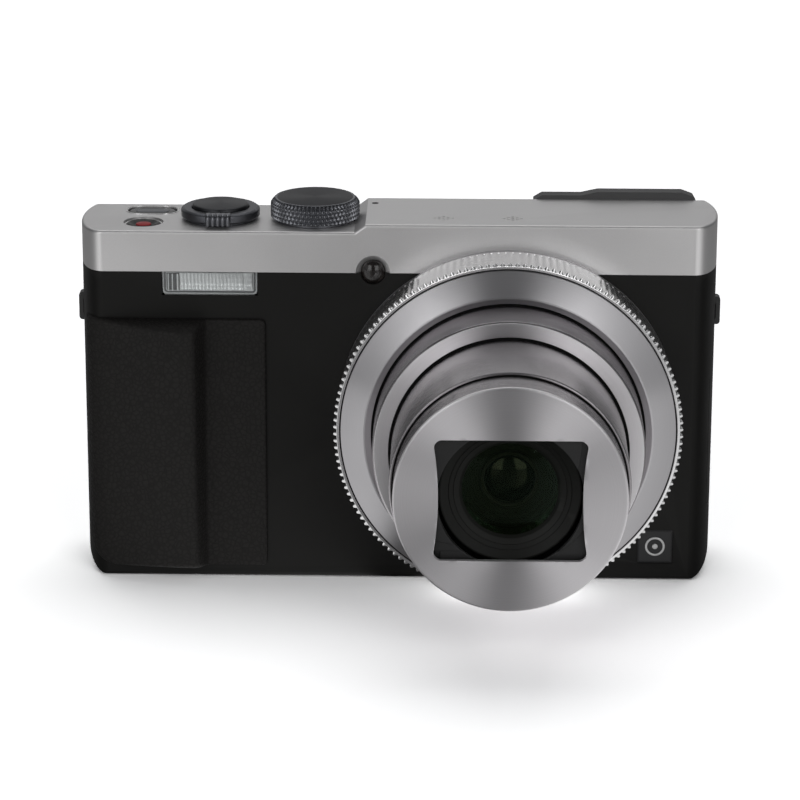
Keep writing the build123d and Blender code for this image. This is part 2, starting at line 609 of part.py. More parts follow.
LEVER_Z = 63.4       # underside of the lever plate
with BuildPart() as zoom_lever:
    # plate with its finger tab at the front
    with BuildSketch(at_z(LEVER_Z)):
        with Locations((LEVER_X, LEVER_Y)):
            Circle(LEVER_R)
        with Locations((LEVER_X, LEVER_Y - 5.2)):
            Rectangle(4.4, 5.2)
        with Locations((LEVER_X, LEVER_Y)):
            Circle(LEVER_BORE_R, mode=Mode.SUBTRACT)
    extrude(amount=1.7)
    # hub through the deck, then the collar above the deck
    for r, z0 in ((LEVER_HUB_R, 60.6), (6.4, DECK_Z + 0.02)):
        with BuildSketch(at_z(z0)):
            with Locations((LEVER_X, LEVER_Y)):
                Circle(r)
                Circle(LEVER_BORE_R, mode=Mode.SUBTRACT)
        extrude(amount=LEVER_Z - z0)
save("zoom_lever", zoom_lever.part)

SHUTTER_RIM_R, SHUTTER_RIM_Z, SHUTTER_TOP_Z = 4.55, 65.65, 65.9
with BuildPart() as shutter_button:
    with BuildSketch(Plane(origin=(LEVER_X, LEVER_Y - SOCKET_Y, 0), x_dir=(1, 0, 0),
                           z_dir=(0, -1, 0))):
        with BuildLine():
            Polyline((0, SHUTTER_TOP_Z), (0, 59.4), (1.2, 59.4), (1.2, 64.0),
                     (SHUTTER_R, 64.0), (SHUTTER_R, 65.35), (SHUTTER_RIM_R, SHUTTER_RIM_Z))
            ThreePointArc(*cap_arc(SHUTTER_RIM_R, SHUTTER_RIM_Z, SHUTTER_TOP_Z)[::-1])
        make_face()
    revolve(axis=Axis((LEVER_X, LEVER_Y - SOCKET_Y, 0), (0, 0, 1)))
save("shutter_button", shutter_button.part)

with BuildPart() as power_button:
    with BuildSketch(at_z(60.0)):
        with Locations((POWER_X, POWER_Y)):
            SlotOverall(POWER_L - 2 * BUTTON_GAP, POWER_W - 2 * BUTTON_GAP)
    extrude(amount=2.95)
    fillet(power_button.edges().group_by(Axis.Z)[-1], 0.3)
save("power_button", power_button.part)

with BuildPart() as movie_button:
    add(post(MOVIE_X, MOVIE_Y, MOVIE_HOLE_R - BUTTON_GAP, 60.0, 62.85))
    fillet(movie_button.edges().group_by(Axis.Z)[-1], 0.25)
save("movie_button", movie_button.part)

TOP_BOARD_BLOCKS = (     # x0, x1, y0, y1, z0, z1
    (-49.0, -8.6, 3.0, 17.6, 56.8, 57.6),      # board
    (-45.4, -41.4, 12.8, 16.2, 57.6, 59.3),    # under the power button
    (-46.0, -42.6, 4.8, 8.0, 57.6, 59.3),      # under the movie button
    (-32.6, -29.6, 8.0, 11.0, 57.6, 58.5),     # under the shutter button
)
with BuildPart() as top_switch_board:
    for extents in TOP_BOARD_BLOCKS:
        add(box(*extents))
    add(post(DIAL_X, DIAL_Y, DIAL_SHAFT_R + BUTTON_GAP, 56, 60), mode=Mode.SUBTRACT)
save("top_switch_board", top_switch_board.part)

# ---------------------------------------------------------------- screen and main board
LCD_BACK_WALL_Y = DEPTH - WALL   # joint between the panel and its window
save("lcd_window", panel(LCD, LCD_BACK_WALL_Y, 21.38, gap=PANEL_GAP))
save("lcd_panel", box(-17.2, 50.2, 18.5, LCD_BACK_WALL_Y, 4.75, 55.25))

# Steps in order, each x0, x1, y0, y1, z0, z1
MAIN_BOARD_STEPS = (
    (Mode.ADD, (-51.0, 49.0, 17.0, 17.8, 6.0, 54.5)),         # board
    (Mode.ADD, (47.6, 48.6, 5.0, 17.0, 14.0, 35.0)),          # arm to the connectors
    (Mode.ADD, (48.6, 52.4, 6.0, 10.6, 15.0, 22.0)),          # lower connector
    (Mode.ADD, (48.6, 52.4, 6.0, 11.0, 25.0, 34.0)),          # upper connector
    (Mode.SUBTRACT, (51.0, 53.0, 7.4, 9.2, 16.0, 21.0)),      # their mouths
    (Mode.SUBTRACT, (51.0, 53.0, 7.4, 9.6, 26.0, 33.0)),
    (Mode.ADD, (-18.0, -9.0, 15.6, 17.0, 36.0, 46.0)),        # blocks on the front side
    (Mode.ADD, (-18.5, -10.5, 15.8, 17.0, 14.0, 24.0)),
    (Mode.ADD, (12.1, 26.1, 16.6, 17.0, 25.1, 36.1)),
)
with BuildPart() as main_board:
    for mode, extents in MAIN_BOARD_STEPS:
        add(box(*extents), mode=mode)
save("main_board", main_board.part)

# ---------------------------------------------------------------- viewfinder
EVF_X0, EVF_X1, EVF_Y0, EVF_Y1 = 23.5, 52.2, TOP_Y + 0.05, 22.0
DIOPTER_X = 28.3
EVF_OUTLINE = [      # x, z
    (EVF_X0, 56.0), (EVF_X0, 64.2), (25.0, 65.1), (31.9, 65.1), (34.8, 65.75),
    (49.6, 65.75), (51.6, 65.0), (EVF_X1, 63.9), (EVF_X1, 56.0),
]
with BuildPart() as evf_housing:
    add(prism(at_y(EVF_Y1), EVF_OUTLINE, EVF_Y1 - EVF_Y0))
    fillet(evf_housing.faces().sort_by(Axis.Y)[-1].edges().filter_by(
        lambda e: e.center().Z > 56.5), 0.7)
    # hollow with an eyepiece opening at the back
    add(box(24.6, 51.0, 19.8, 21.0, 57.2, 64.0), mode=Mode.SUBTRACT)
    add(panel(EYEPIECE, 20.5, 23), mode=Mode.SUBTRACT)
    add(peg(DIOPTER_X, EYEPIECE_Z, 0.85, 19.8, 23), mode=Mode.SUBTRACT)
save("evf_housing", evf_housing.part)

save("evf_lens", panel(EYEPIECE, 20.6, 21.8, gap=PANEL_GAP))

with BuildPart() as evf_eyecup:
    with BuildSketch(at_y(EVF_Y1 + 0.7)):
        with Locations((EYEPIECE_X, EYEPIECE_Z)):
            RectangleRounded(15.5, 8.2, 2.0)
            RectangleRounded(11.6, 6.6, 1.2, mode=Mode.SUBTRACT)
    extrude(amount=0.7)
    fillet(evf_eyecup.faces().sort_by(Axis.Y)[-1].edges(), 0.25)
save("evf_eyecup", evf_eyecup.part)

with BuildPart() as diopter_dial:
    with BuildSketch(at_y(23.0)):
        with Locations((DIOPTER_X, EYEPIECE_Z)):
            RegularPolygon(2.7, 24)
    extrude(amount=0.95)
    add(peg(DIOPTER_X, EYEPIECE_Z, 0.78, 20.2, 22.5))
save("diopter_dial", diopter_dial.part)

# ---------------------------------------------------------------- rear controls
with BuildPart() as thumb_rest:
    add(panel(THUMB_SEAT, DEPTH - SEAT_DEPTH, DEPTH + 0.7, gap=PANEL_GAP))
    fillet(thumb_rest.faces().sort_by(Axis.Y)[-1].edges(), 0.5)
save("thumb_rest", thumb_rest.part)

for name, x, z in REAR_BUTTONS:
    with BuildPart() as rear_button:
        add(peg(x, z, REAR_HOLE_R - BUTTON_GAP, 19.0, 21.9))
        fillet(rear_button.edges().group_by(Axis.Y)[-1], 0.35)
        # flange that keeps the button behind the wall
        add(peg(x, z, REAR_HOLE_R + 0.5, 18.4, 19.0))
    save(name, rear_button.part)

with BuildPart() as evf_button:
    add(peg(EVF_BUTTON_X, EVF_BUTTON_Z, EVF_HOLE_R - BUTTON_GAP, 19.4, 21.8))
    fillet(evf_button.edges().group_by(Axis.Y)[-1], 0.3)
save("evf_button", evf_button.part)

MENU_R = 4.4
with BuildPart() as control_dial:
    with BuildSketch(at_y(22.1)):
        with Locations((PAD_X, PAD_Z)):
            Circle(PAD_SEAT_R - 0.08)
            Circle(MENU_R + BUTTON_GAP, mode=Mode.SUBTRACT)
    extrude(amount=1.45)
    fillet(control_dial.faces().sort_by(Axis.Y)[-1].edges(), 0.35)
save("control_dial", control_dial.part)

with BuildPart() as menu_set_button:
    add(peg(PAD_X, PAD_Z, MENU_R, 21.25, 22.2))
    fillet(menu_set_button.edges().group_by(Axis.Y)[-1], 0.3)
    add(peg(PAD_X, PAD_Z, PAD_STEM_HOLE_R - BUTTON_GAP, 18.6, 21.3))
save("menu_set_button", menu_set_button.part)

# ---------------------------------------------------------------- battery, card, door
BATTERY = (-49.3, -14.1, 3.3, 11.0, 2.2, 44.2)     # x0, x1, y0, y1, z0, z1
CARD = (-44.0, -20.0, 11.5, 13.6, 2.2, 34.2)
CARD_CHAMFER = 3
HINGE_EARS = ((2.9, 3.6), (7.4, 9.4), (13.3, 14.2))    # y0, y1
EAR_GAPS = ((3.6, 7.4), (9.4, 13.3))

with BuildPart() as battery_box:
    add(box(-49.9, -13.5, 2.7, 14.2, 1.25, 46.2))
    x0, x1, y0, y1, _, z1 = BATTERY
    add(box(x0 - 0.1, x1 + 0.1, y0 - 0.1, y1 + 0.05, 0, z1 + 0.2), mode=Mode.SUBTRACT)
    x0, x1, y0, y1, _, z1 = CARD
    add(box(x0 - 0.1, x1 + 0.1, y0 - 0.05, y1 + 0.1, 0, z1 + 0.2), mode=Mode.SUBTRACT)
    # ears and foot that hold the hinge pin
    for y0, y1 in HINGE_EARS:
        add(box(-13.5, -9.2, y0, y1, 1.25, 3.0))
    add(box(-13.5, -12.9, 2.7, 14.2, 3.0, 5.0))
    add(peg(PIN_X, PIN_Z, PIN_R, 2, 15), mode=Mode.SUBTRACT)
    for y0, y1 in EAR_GAPS:
        add(box(-13.6, -12.55, y0, y1, 0, 2.7), mode=Mode.SUBTRACT)
save("battery_box", battery_box.part)

with BuildPart() as battery:
    add(box(*BATTERY))
    fillet(battery.edges().filter_by(Axis.Z), 1.0)
save("battery", battery.part)

x0, x1, y0, y1, z0, z1 = CARD
save("sd_card", prism(at_y(y1), [
    (x0, z0), (x1, z0), (x1, z1 - CARD_CHAMFER), (x1 - CARD_CHAMFER, z1), (x0, z1)], y1 - y0))

DOOR_T = 1.15
door_bevel = [(DOOR_X1 + 0.1, 0.1), (DOOR_X1 + 0.1, 1.3), (DOOR_X1 - 0.9, 1.3), (DOOR_X1, 0.1)]
with BuildPart() as battery_door:
    add(box(DOOR_X0, DOOR_X1, DOOR_Y0, DOOR_Y1, 0.0, DOOR_T))
    # recess and slot of the release lever
    add(box(-47.0, -35.0, 6.2, 10.6, BELOW, 0.55), mode=Mode.SUBTRACT)
    add(box(-44.0, -38.0, 7.4, 9.4, BELOW, 3), mode=Mode.SUBTRACT)
    # bevel on the hinge end, so the edge clears the base as the door swings
    add(prism(at_y(DOOR_Y1 + 1), door_bevel, DOOR_Y1 - DOOR_Y0 + 2), mode=Mode.SUBTRACT)
    for y in KNUCKLE_YS:
        add(box(DOOR_X1 - 1.2, PIN_X, y - KNUCKLE_HALF, y + KNUCKLE_HALF, 0.2, DOOR_T))
        add(peg(PIN_X, PIN_Z, 1.2, y - KNUCKLE_HALF, y + KNUCKLE_HALF))
    add(peg(PIN_X, PIN_Z, PIN_R + 0.05, 2, 15), mode=Mode.SUBTRACT)
save("battery_door", battery_door.part)

save("door_hinge_pin", peg(PIN_X, PIN_Z, PIN_R, 3.0, 14.1))

with BuildPart() as door_release_lever:
    add(box(-46.9, -37.6, 6.3, 10.5, 0.05, 0.5))
    add(box(-43.9, -40.1, 7.5, 9.3, 0.5, 1.6))
save("door_release_lever", door_release_lever.part)

# ---------------------------------------------------------------- socket, lugs, flap, screws
THREAD_R = 3.175     # quarter-inch tripod thread, major radius
with BuildPart() as tripod_socket:
    add(post(0, SOCKET_Y, 4.95, 0.0, WALL))
    add(post(0, SOCKET_Y, 6.0, WALL, 7.2))
    add(post(0, SOCKET_Y, THREAD_R, BELOW, 6.2), mode=Mode.SUBTRACT)
save("tripod_socket", tripod_socket.part)

with BuildPart() as strap_lugs:
    for side in (-1, 1):
        x0, x1 = sorted((side * 52.6, side * 53.6))
        add(box(x0, x1, LUG_Y0 + LUG_GAP, LUG_Y1 - LUG_GAP, LUG_Z0 + LUG_GAP, LUG_Z1 - LUG_GAP))
        with BuildSketch(at_y(11.7)):
            with Locations((side * 54.75, 46.8)):
                RectangleRounded(3.0, 5.0, 0.6)
                RectangleRounded(1.4, 3.2, 0.5, mode=Mode.SUBTRACT)
        extrude(amount=2.0)
save("strap_lugs", strap_lugs.part)

FLAP_HINGE_X, FLAP_HINGE_Y = 54.73, 11.87
FLAP_GAP = 0.12
with BuildPart() as terminal_door:
    add(outer_low)
    add(inner_low, mode=Mode.SUBTRACT)
    add(box(50.5, 57, 4.12, FLAP_HINGE_Y, FLAP_Z0 + FLAP_GAP, FLAP_Z1 - FLAP_GAP),
        mode=Mode.INTERSECT)
    # round hinge bead along the rear edge
    add(post(FLAP_HINGE_X, FLAP_HINGE_Y, 0.58, FLAP_Z0 + FLAP_GAP, FLAP_Z1 - FLAP_GAP))
save("terminal_door", terminal_door.part)

SCREW_FACE_Z = 0.1
with BuildPart() as case_screws:
    for x, y in BASE_SCREWS:
        add(post(x, y, SCREW_HEAD_R, SCREW_FACE_Z, SCREW_SEAT_Z))
        add(post(x, y, SCREW_SHANK_R, SCREW_SEAT_Z, 3.4))
        # cross recess
        with BuildSketch(at_z(SCREW_FACE_Z)):
            with Locations((x, y)):
                Rectangle(1.5, 0.35)
                Rectangle(0.35, 1.5)
        extrude(amount=0.35, mode=Mode.SUBTRACT)
save("case_screws", case_screws.part)
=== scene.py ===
"""A compact camera with a three-stage zoom lens, standing on its base on a white sweep.

The front faces -Y, +X is on the right of someone looking at the front, and +Z is up.
The lens sits right of centre, the hand grip on the left (-X) end, the controls on top and rear.
Shapes are given in millimetres, with y counted from the front face of the body and growing
rearward; point() turns them into metres. Materials, lights and the stage are in metres.
"""

from math import atan2, cos, pi, radians, sin, sqrt, tan

import bmesh
import bpy
from mathutils import Matrix, Vector, noise


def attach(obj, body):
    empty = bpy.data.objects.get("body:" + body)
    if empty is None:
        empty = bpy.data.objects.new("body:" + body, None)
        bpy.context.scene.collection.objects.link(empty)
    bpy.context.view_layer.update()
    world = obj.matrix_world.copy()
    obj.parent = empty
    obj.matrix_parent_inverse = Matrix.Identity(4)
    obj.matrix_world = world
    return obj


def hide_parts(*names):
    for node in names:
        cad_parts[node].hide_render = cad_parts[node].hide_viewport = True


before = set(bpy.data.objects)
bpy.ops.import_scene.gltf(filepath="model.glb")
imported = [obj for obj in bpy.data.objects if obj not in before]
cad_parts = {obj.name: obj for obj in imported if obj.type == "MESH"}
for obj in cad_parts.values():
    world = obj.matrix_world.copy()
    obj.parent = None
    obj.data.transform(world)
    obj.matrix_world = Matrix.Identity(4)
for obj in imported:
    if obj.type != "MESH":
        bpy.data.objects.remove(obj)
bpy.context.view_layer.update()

# ------------------------------------------------------------------ driving dimensions (mm)
FRONT_FACE = 10.5               # distance of the front face ahead of the frame's origin
LENS_AXIS = (19.1, 30.6)        # x, z
BODY_STRAIGHT = 51.0            # half the width over which the body's front is flat
BODY_END = 4.35                 # extra half width of each rounded end
BODY_DEPTH = 21.4
BODY = "camera_body"

# y of the front edge of each extended barrel
OUTER_FRONT, MIDDLE_FRONT, NOSE = -21.8, -39.8, -46.2

# x, y of the top controls
MODE_DIAL = (-14.6, 9.5)
SHUTTER = (-31.1, 9.5)
POWER_BUTTON = (-43.4, 14.5)
MOVIE_BUTTON = (-44.3, 6.4)

# x, z of front and rear details
LAMP = (-4.3, 55.9)
BADGE_CENTRE = (45.35, 6.25)
REAR_DIAL = (-39.0, 22.0)


def point(x, y, z):
    """Millimetres from the front face to metres in the frame."""
    return (x / 1000.0, (y - FRONT_FACE) / 1000.0, z / 1000.0)


# ------------------------------------------------------------------ shader helpers
def tinted(colour, factor, offset=0.0):
    return tuple(min(1, v * factor + offset) for v in colour)


class Shader:
    """A material being built. Helpers add a node and return the output to link onward."""

    def __init__(self, name):
        self.material = bpy.data.materials.new(name)
        self.material.use_nodes = True
        self.tree = self.material.node_tree
        self.tree.nodes.clear()
        self.coords = self.node("TexCoord").outputs["Object"]

    def node(self, kind, inputs=None, **settings):
        """Each input takes a plain value or another node's output."""
        node = self.tree.nodes.new("ShaderNode" + kind)
        for key, value in settings.items():
            setattr(node, key, value)
        for key, value in (inputs or {}).items():
            socket = node.inputs[key]
            if isinstance(value, bpy.types.NodeSocket):
                self.tree.links.new(value, socket)
            else:
                socket.default_value = (*value, 1) if socket.type == "RGBA" else value
        return node

    def finish(self, surface):
        self.node("OutputMaterial", {0: surface.outputs[0]})
        return self.material

    def principled(self, inputs):
        return self.finish(self.node("BsdfPrincipled", inputs))

    def math(self, operation, *operands):
        return self.node("Math", dict(enumerate(operands)), operation=operation).outputs[0]

    def add(self, a, b):
        return self.math("ADD", a, b)

    def times(self, a, b):
        return self.math("MULTIPLY", a, b)

    def remap(self, value, to_min, to_max, from_min=0.0, from_max=1.0):
        return self.node("MapRange", {
            "Value": value, "From Min": from_min, "From Max": from_max,
            "To Min": to_min, "To Max": to_max}).outputs["Result"]

    def noise(self, scale, detail=2.0, roughness=0.5, output="Fac"):
        return self.node("TexNoise", {
            "Vector": self.coords, "Scale": scale, "Detail": detail,
            "Roughness": roughness}, noise_dimensions="3D").outputs[output]

    def lines(self, position, scale, roughness):
        """Noise that varies only along one distance."""
        return self.node("TexNoise", noise_dimensions="1D", inputs={
            "W": position, "Scale": scale, "Detail": 2.0,
            "Roughness": roughness}).outputs["Fac"]

    def mix(self, factor, a, b):
        return self.node("Mix", {"Factor": factor, "A": a, "B": b},
                         data_type="RGBA").outputs["Result"]

    def bevel(self, radius):
        return self.node("Bevel", {"Radius": radius}, samples=6).outputs["Normal"]

    def bump(self, height, strength, distance, normal=None):
        inputs = {"Height": height, "Strength": strength, "Distance": distance}
        if normal is not None:
            inputs["Normal"] = normal
        return self.node("Bump", inputs).outputs["Normal"]

    def worn_edges(self, base, amount, colour):
        """Shows a brighter colour on convex edges."""
        pointiness = self.node("NewGeometry").outputs["Pointiness"]
        edge = self.remap(pointiness, 0.0, 1.0, from_min=0.52, from_max=0.60)
        return self.mix(self.times(edge, amount), base, colour)

    def mottled(self, fine, swing, smudge, low, high):
        """Roughness drifting from low to high with the smudges, plus or minus a fine swing."""
        return self.add(self.remap(fine, -swing, swing), self.remap(smudge, low, high, 0.3, 0.7))


# ------------------------------------------------------------------ kinds of material
def satin_metal(name, colour, roughness, flake=0.35, bevel=0.00018, metallic=0.92,
                grain=9000.0, wear=0.12):
    """Bead-blasted or metallic-painted: fine flake grain, soft smudges, worn edges."""
    shader = Shader(name)
    fine = shader.noise(grain, 3.0, 0.6)
    ripple = shader.noise(900.0)
    smudge = shader.noise(55.0, 3.0, 0.55)
    base = shader.mix(shader.math("MULTIPLY_ADD", fine, 0.8, 0.1),
                      tinted(colour, 1 - 0.30 * flake), tinted(colour, 1 + 0.24 * flake))
    normal = shader.bump(ripple, 0.05, 0.00004, shader.bevel(bevel))
    return shader.principled({
        "Base Color": shader.worn_edges(base, wear, tinted(colour, 1.35, 0.1)),
        "Roughness": shader.mottled(fine, 0.06, smudge, roughness - 0.03, roughness + 0.05),
        "Metallic": metallic,
        "Normal": shader.bump(fine, 0.35 * flake, 0.00002, normal)})


def turned_metal(name, colour, roughness, sheen, centre=LENS_AXIS, axis="Y", lines=26000.0,
                 line_bump=0.25):
    """Lathe-turned: concentric tool lines and an anisotropic sheen round the axis."""
    shader = Shader(name)
    x, y, z = shader.node("SeparateXYZ", {0: shader.coords}).outputs
    if axis == "Y":
        across, along, middle = z, y, centre[1]
    else:
        across, along, middle = y, z, centre[1] - FRONT_FACE
    dx = shader.math("SUBTRACT", x, centre[0] / 1000.0)
    dy = shader.math("SUBTRACT", across, middle / 1000.0)
    radius = shader.math("SQRT", shader.add(shader.times(dx, dx), shader.times(dy, dy)))
    position = shader.add(radius, shader.times(along, 0.73))
    tool = shader.add(shader.times(shader.lines(position, lines, 0.6), 0.6),
                      shader.times(shader.lines(position, lines * 0.18, 0.5), 0.4))
    grain = shader.noise(14000.0, 2.0, 0.6)
    smudge = shader.noise(70.0, 3.0)
    tangent = shader.node("Tangent", direction_type="RADIAL", axis=axis).outputs[0]
    return shader.principled({
        "Base Color": shader.mix(tool, tinted(colour, 0.88), tinted(colour, 1.10)),
        "Roughness": shader.mottled(tool, 0.05, smudge, roughness - 0.02, roughness + 0.04),
        "Metallic": 1.0,
        "Anisotropic": sheen,
        "Anisotropic Rotation": 0.25,
        "Tangent": tangent,
        "Normal": shader.bump(grain, 0.08, 0.00001, shader.bump(tool, line_bump, 0.00001))})


def moulded(name, colour, roughness, specular=0.5, grain=0.25, scale=3500.0, bevel=0.00015,
            coat=0.0):
    """Moulded or painted plastic: fine spark-eroded texture, faint handling marks."""
    shader = Shader(name)
    fine = shader.noise(scale, 3.0, 0.6)
    pits = shader.node("TexVoronoi", {"Vector": shader.coords, "Scale": scale * 0.7})
    smudge = shader.noise(45.0, 4.0, 0.6)
    base = shader.mix(smudge, tinted(colour, 0.85), tinted(colour, 1.18, 0.001))
    normal = shader.bump(pits.outputs["Distance"], grain * 0.5, 0.00002, shader.bevel(bevel))
    return shader.principled({
        "Base Color": shader.worn_edges(base, 0.25, tinted(colour, 2.2, 0.02)),
        "Roughness": shader.mottled(fine, 0.05, smudge, roughness - 0.04, roughness + 0.06),
        "Specular IOR Level": specular,
        "Coat Weight": coat,
        "Coat Roughness": 0.08,
        "Normal": shader.bump(fine, grain, 0.00002, normal)})


def polished(name, colour, roughness, specular):
    """Smooth black inside the optics: colour and gloss drift slowly, no surface grain."""
    shader = Shader(name)
    smudge = shader.noise(60.0, 3.0)
    return shader.principled({
        "Base Color": shader.mix(smudge, tinted(colour, 0.8), tinted(colour, 1.2)),
        "Roughness": shader.remap(smudge, max(0.02, roughness - 0.04), roughness + 0.05,
                                  0.3, 0.7),
        "Specular IOR Level": specular})


def circuit_board(name, mask, shell, shell_from_x):
    """Solder mask with faint tracks; past shell_from_x (metres) all is bare metal."""
    shader = Shader(name)
    x = shader.node("SeparateXYZ", {0: shader.coords}).outputs[0]
    is_shell = shader.math("GREATER_THAN", x, shell_from_x)
    tracks = shader.noise(900.0, 1.0, 0.4)
    board = shader.mix(shader.remap(tracks, 0.0, 1.0, 0.46, 0.54), tinted(mask, 0.6), mask)
    return shader.principled({
        "Base Color": shader.mix(is_shell, board, shell),
        "Metallic": is_shell,
        "Roughness": shader.remap(tracks, 0.30, 0.40)})


def leather(name, colour, roughness=0.55):
    """Leather-grained rubber: pebbled cells and pores, with painted shade darkening the creases
    between the cells.
    """
    shader = Shader(name)
    warped = shader.node("VectorMath", operation="MULTIPLY_ADD", inputs={
        0: shader.noise(700.0, output="Color"),
        1: (0.0006, 0.0006, 0.0006),
        2: shader.coords}).outputs[0]

    def cells(scale, crease):
        cell = shader.node("TexVoronoi", {"Vector": warped, "Scale": scale},
                           feature="DISTANCE_TO_EDGE")
        return shader.remap(cell.outputs["Distance"], 0.0, 1.0, 0.0, crease)

    large = cells(scale=1150.0, crease=0.22)
    small = cells(scale=2800.0, crease=0.25)
    fine = shader.noise(6000.0, 3.0, 0.6)
    height = shader.add(shader.times(large, 0.65),
                        shader.add(shader.times(small, 0.25), shader.times(fine, 0.15)))
    return shader.principled({
        # the base colour is darker toward the creases: painted shade in the creases
        "Base Color": shader.mix(large, tinted(colour, 0.72), colour),
        "Roughness": shader.remap(height, roughness + 0.12, roughness - 0.06),
        "Specular IOR Level": 0.15,
        "Normal": shader.bump(height, 0.75, 0.00009, shader.bevel(0.0002))})


def solid_glass(name, colour, roughness, transmission, ior, specular, smear=0.03):
    """Refracting tinted glass, slightly duller where it is smeared."""
    shader = Shader(name)
    smudge = shader.noise(160.0, 4.0, 0.6)
    return shader.principled({
        "Base Color": colour,
        "Roughness": shader.remap(smudge, roughness, roughness + smear, 0.45, 0.75),
        "Transmission Weight": transmission,
        "IOR": ior,
        "Specular IOR Level": specular})


def thin_glass(name, through, shine, roughness, reflectance):
    """Clear coated glass: tinted pass-through, sharp surface reflection, faint smears."""
    shader = Shader(name)
    smear = shader.noise(180.0, 4.0, 0.6)
    clear = shader.node("BsdfTransparent", {
        "Color": shader.mix(smear, tinted(through, 0.96), through)})
    glossy = shader.node("BsdfGlossy", {
        "Color": shine,
        "Roughness": shader.remap(smear, roughness, roughness + 0.03, 0.3, 0.8)})
    fresnel = shader.node("Fresnel", {"IOR": 1.45}).outputs[0]
    # 0.04 stands for the reflectance of plain glass seen head on
    return shader.finish(shader.node("MixShader", {
        0: shader.times(fresnel, reflectance / 0.04),
        1: clear.outputs[0],
        2: glossy.outputs[0]}))


# ------------------------------------------------------------------ the materials
SILVER = satin_metal("satin_silver", (0.70, 0.69, 0.69), roughness=0.42)
TRIM = turned_metal("turned_trim", (0.55, 0.54, 0.555), roughness=0.33, sheen=0.8)
FACE = turned_metal("barrel_face", (0.84, 0.825, 0.84), roughness=0.37, sheen=0.85,
                    lines=30000.0)
KNURL = turned_metal("knurled_ring", (0.93, 0.92, 0.93), roughness=0.24, sheen=0.2,
                     lines=9000.0, line_bump=0.15)
BARREL = turned_metal("barrel_satin", (0.46, 0.44, 0.455), roughness=0.24, sheen=0.6,
                      lines=30000.0)
PLATE = turned_metal("front_plate_spun", (0.80, 0.78, 0.80), roughness=0.40, sheen=0.92,
                     lines=34000.0, line_bump=0.18)
BLACK = moulded("black_shell", (0.0045, 0.0043, 0.0038), roughness=0.46, specular=0.16,
                grain=0.30)
GRIP = leather("grip_leather", (0.0165, 0.0155, 0.0146))
DIAL_TOP = turned_metal("dial_spun", (0.045, 0.0455, 0.049), roughness=0.44, sheen=0.4,
                        centre=MODE_DIAL, axis="Z", lines=15000.0, line_bump=0.35)
LEVER = satin_metal("dark_anodised", (0.115, 0.118, 0.13), roughness=0.33, flake=0.25, wear=0.5)
DIAL = satin_metal("dark_knurl", (0.17, 0.174, 0.19), roughness=0.26, flake=0.15, wear=0.6,
                   bevel=0.00004)
BUTTON = turned_metal("button_spun", (0.056, 0.057, 0.061), roughness=0.40, sheen=0.4,
                      centre=SHUTTER, axis="Z", lines=15000.0)
INNER = moulded("lens_black", (0.0055, 0.0058, 0.0045), roughness=0.5, specular=0.25,
                grain=0.12)
# near-black fill for gaps and holes: painted shade
RECESS_SHADE = moulded("recess_shade_black", (0.0025, 0.0025, 0.0025), roughness=0.8, specular=0.1, grain=0.4,
               scale=5000.0)
BLADE = satin_metal("blade_black", (0.012, 0.012, 0.012), roughness=0.35, flake=0.1,
                    metallic=0.3, wear=0.2)
PLASTIC = moulded("black_control", (0.030, 0.030, 0.031), roughness=0.34, grain=0.2)
GLOSS = moulded("gloss_black", (0.006, 0.006, 0.007), roughness=0.10, specular=0.6,
                grain=0.03, coat=0.3)
LENS = thin_glass("lens_coated", through=(0.78, 0.82, 0.70), shine=(0.7, 1.0, 0.8),
                  roughness=0.01, reflectance=0.012)
WINDOW = thin_glass("clear_window", through=(0.97, 0.98, 0.98), shine=(1.0, 1.0, 1.0),
                    roughness=0.02, reflectance=0.04)
SMOKE = solid_glass("smoked_dome", (0.10, 0.085, 0.08), roughness=0.03, transmission=0.85,
                    ior=1.49, specular=0.6)
SCREEN = moulded("screen_glass", (0.008, 0.008, 0.010), roughness=0.05, specular=0.6,
                 grain=0.01, coat=0.6, bevel=0.0001)
CHROME = satin_metal("reflector", (0.86, 0.86, 0.85), roughness=0.16, flake=0.1, metallic=1.0)
STEEL = satin_metal("steel", (0.50, 0.50, 0.51), roughness=0.28, flake=0.2, metallic=1.0)
BOARD = circuit_board("solder_mask", mask=(0.010, 0.055, 0.026), shell=(0.42, 0.42, 0.43),
                      shell_from_x=0.04865)
CELL = moulded("battery_shell", (0.03, 0.03, 0.034), roughness=0.35, grain=0.2)
CARD = moulded("card_shell", (0.02, 0.03, 0.07), roughness=0.4, grain=0.2)
RED = moulded("record_red", (0.34, 0.006, 0.012), roughness=0.35, specular=0.25, grain=0.05,
              bevel=0.00003)
GLOSS_PILL = moulded("gloss_pill", (0.012, 0.012, 0.013), roughness=0.22, grain=0.05, coat=0.2)
EMBLEM = satin_metal("emblem_grey", (0.50, 0.50, 0.50), roughness=0.35, flake=0.1)
PRINT = moulded("pale_print", (0.62, 0.62, 0.62), roughness=0.5, specular=0.4, grain=0.05,
                bevel=0.00001)
FINDER = moulded("finder_shell", (0.045, 0.045, 0.046), roughness=0.5, grain=0.3)
# the rear cover's black, lighter and glossier than the front cover's so the unlit rear reads: painted
# light
REAR_PAINTED_LIGHT = moulded("rear_shell_painted_light", (0.013, 0.013, 0.013), roughness=0.45, specular=0.35, grain=0.30)
BAFFLE = polished("lens_dark_inner", (0.0062, 0.0070, 0.0050), roughness=0.6, specular=0.16)
FLASH_BRIGHT = satin_metal("flash_bright", (0.95, 0.95, 0.95), roughness=0.30, flake=0.02,
                           metallic=0.55, grain=4000)
FLASH_DARK = satin_metal("flash_shadow", (0.16, 0.16, 0.165), roughness=0.3, flake=0.1,
                         metallic=0.5, grain=4000)
BADGE = satin_metal("badge_dark", (0.016, 0.016, 0.017), roughness=0.34, flake=0.15,
                    metallic=0.6)
SECOND_ELEMENT = polished("second_element", (0.0030, 0.0042, 0.0030), roughness=0.07,
                          specular=0.22)

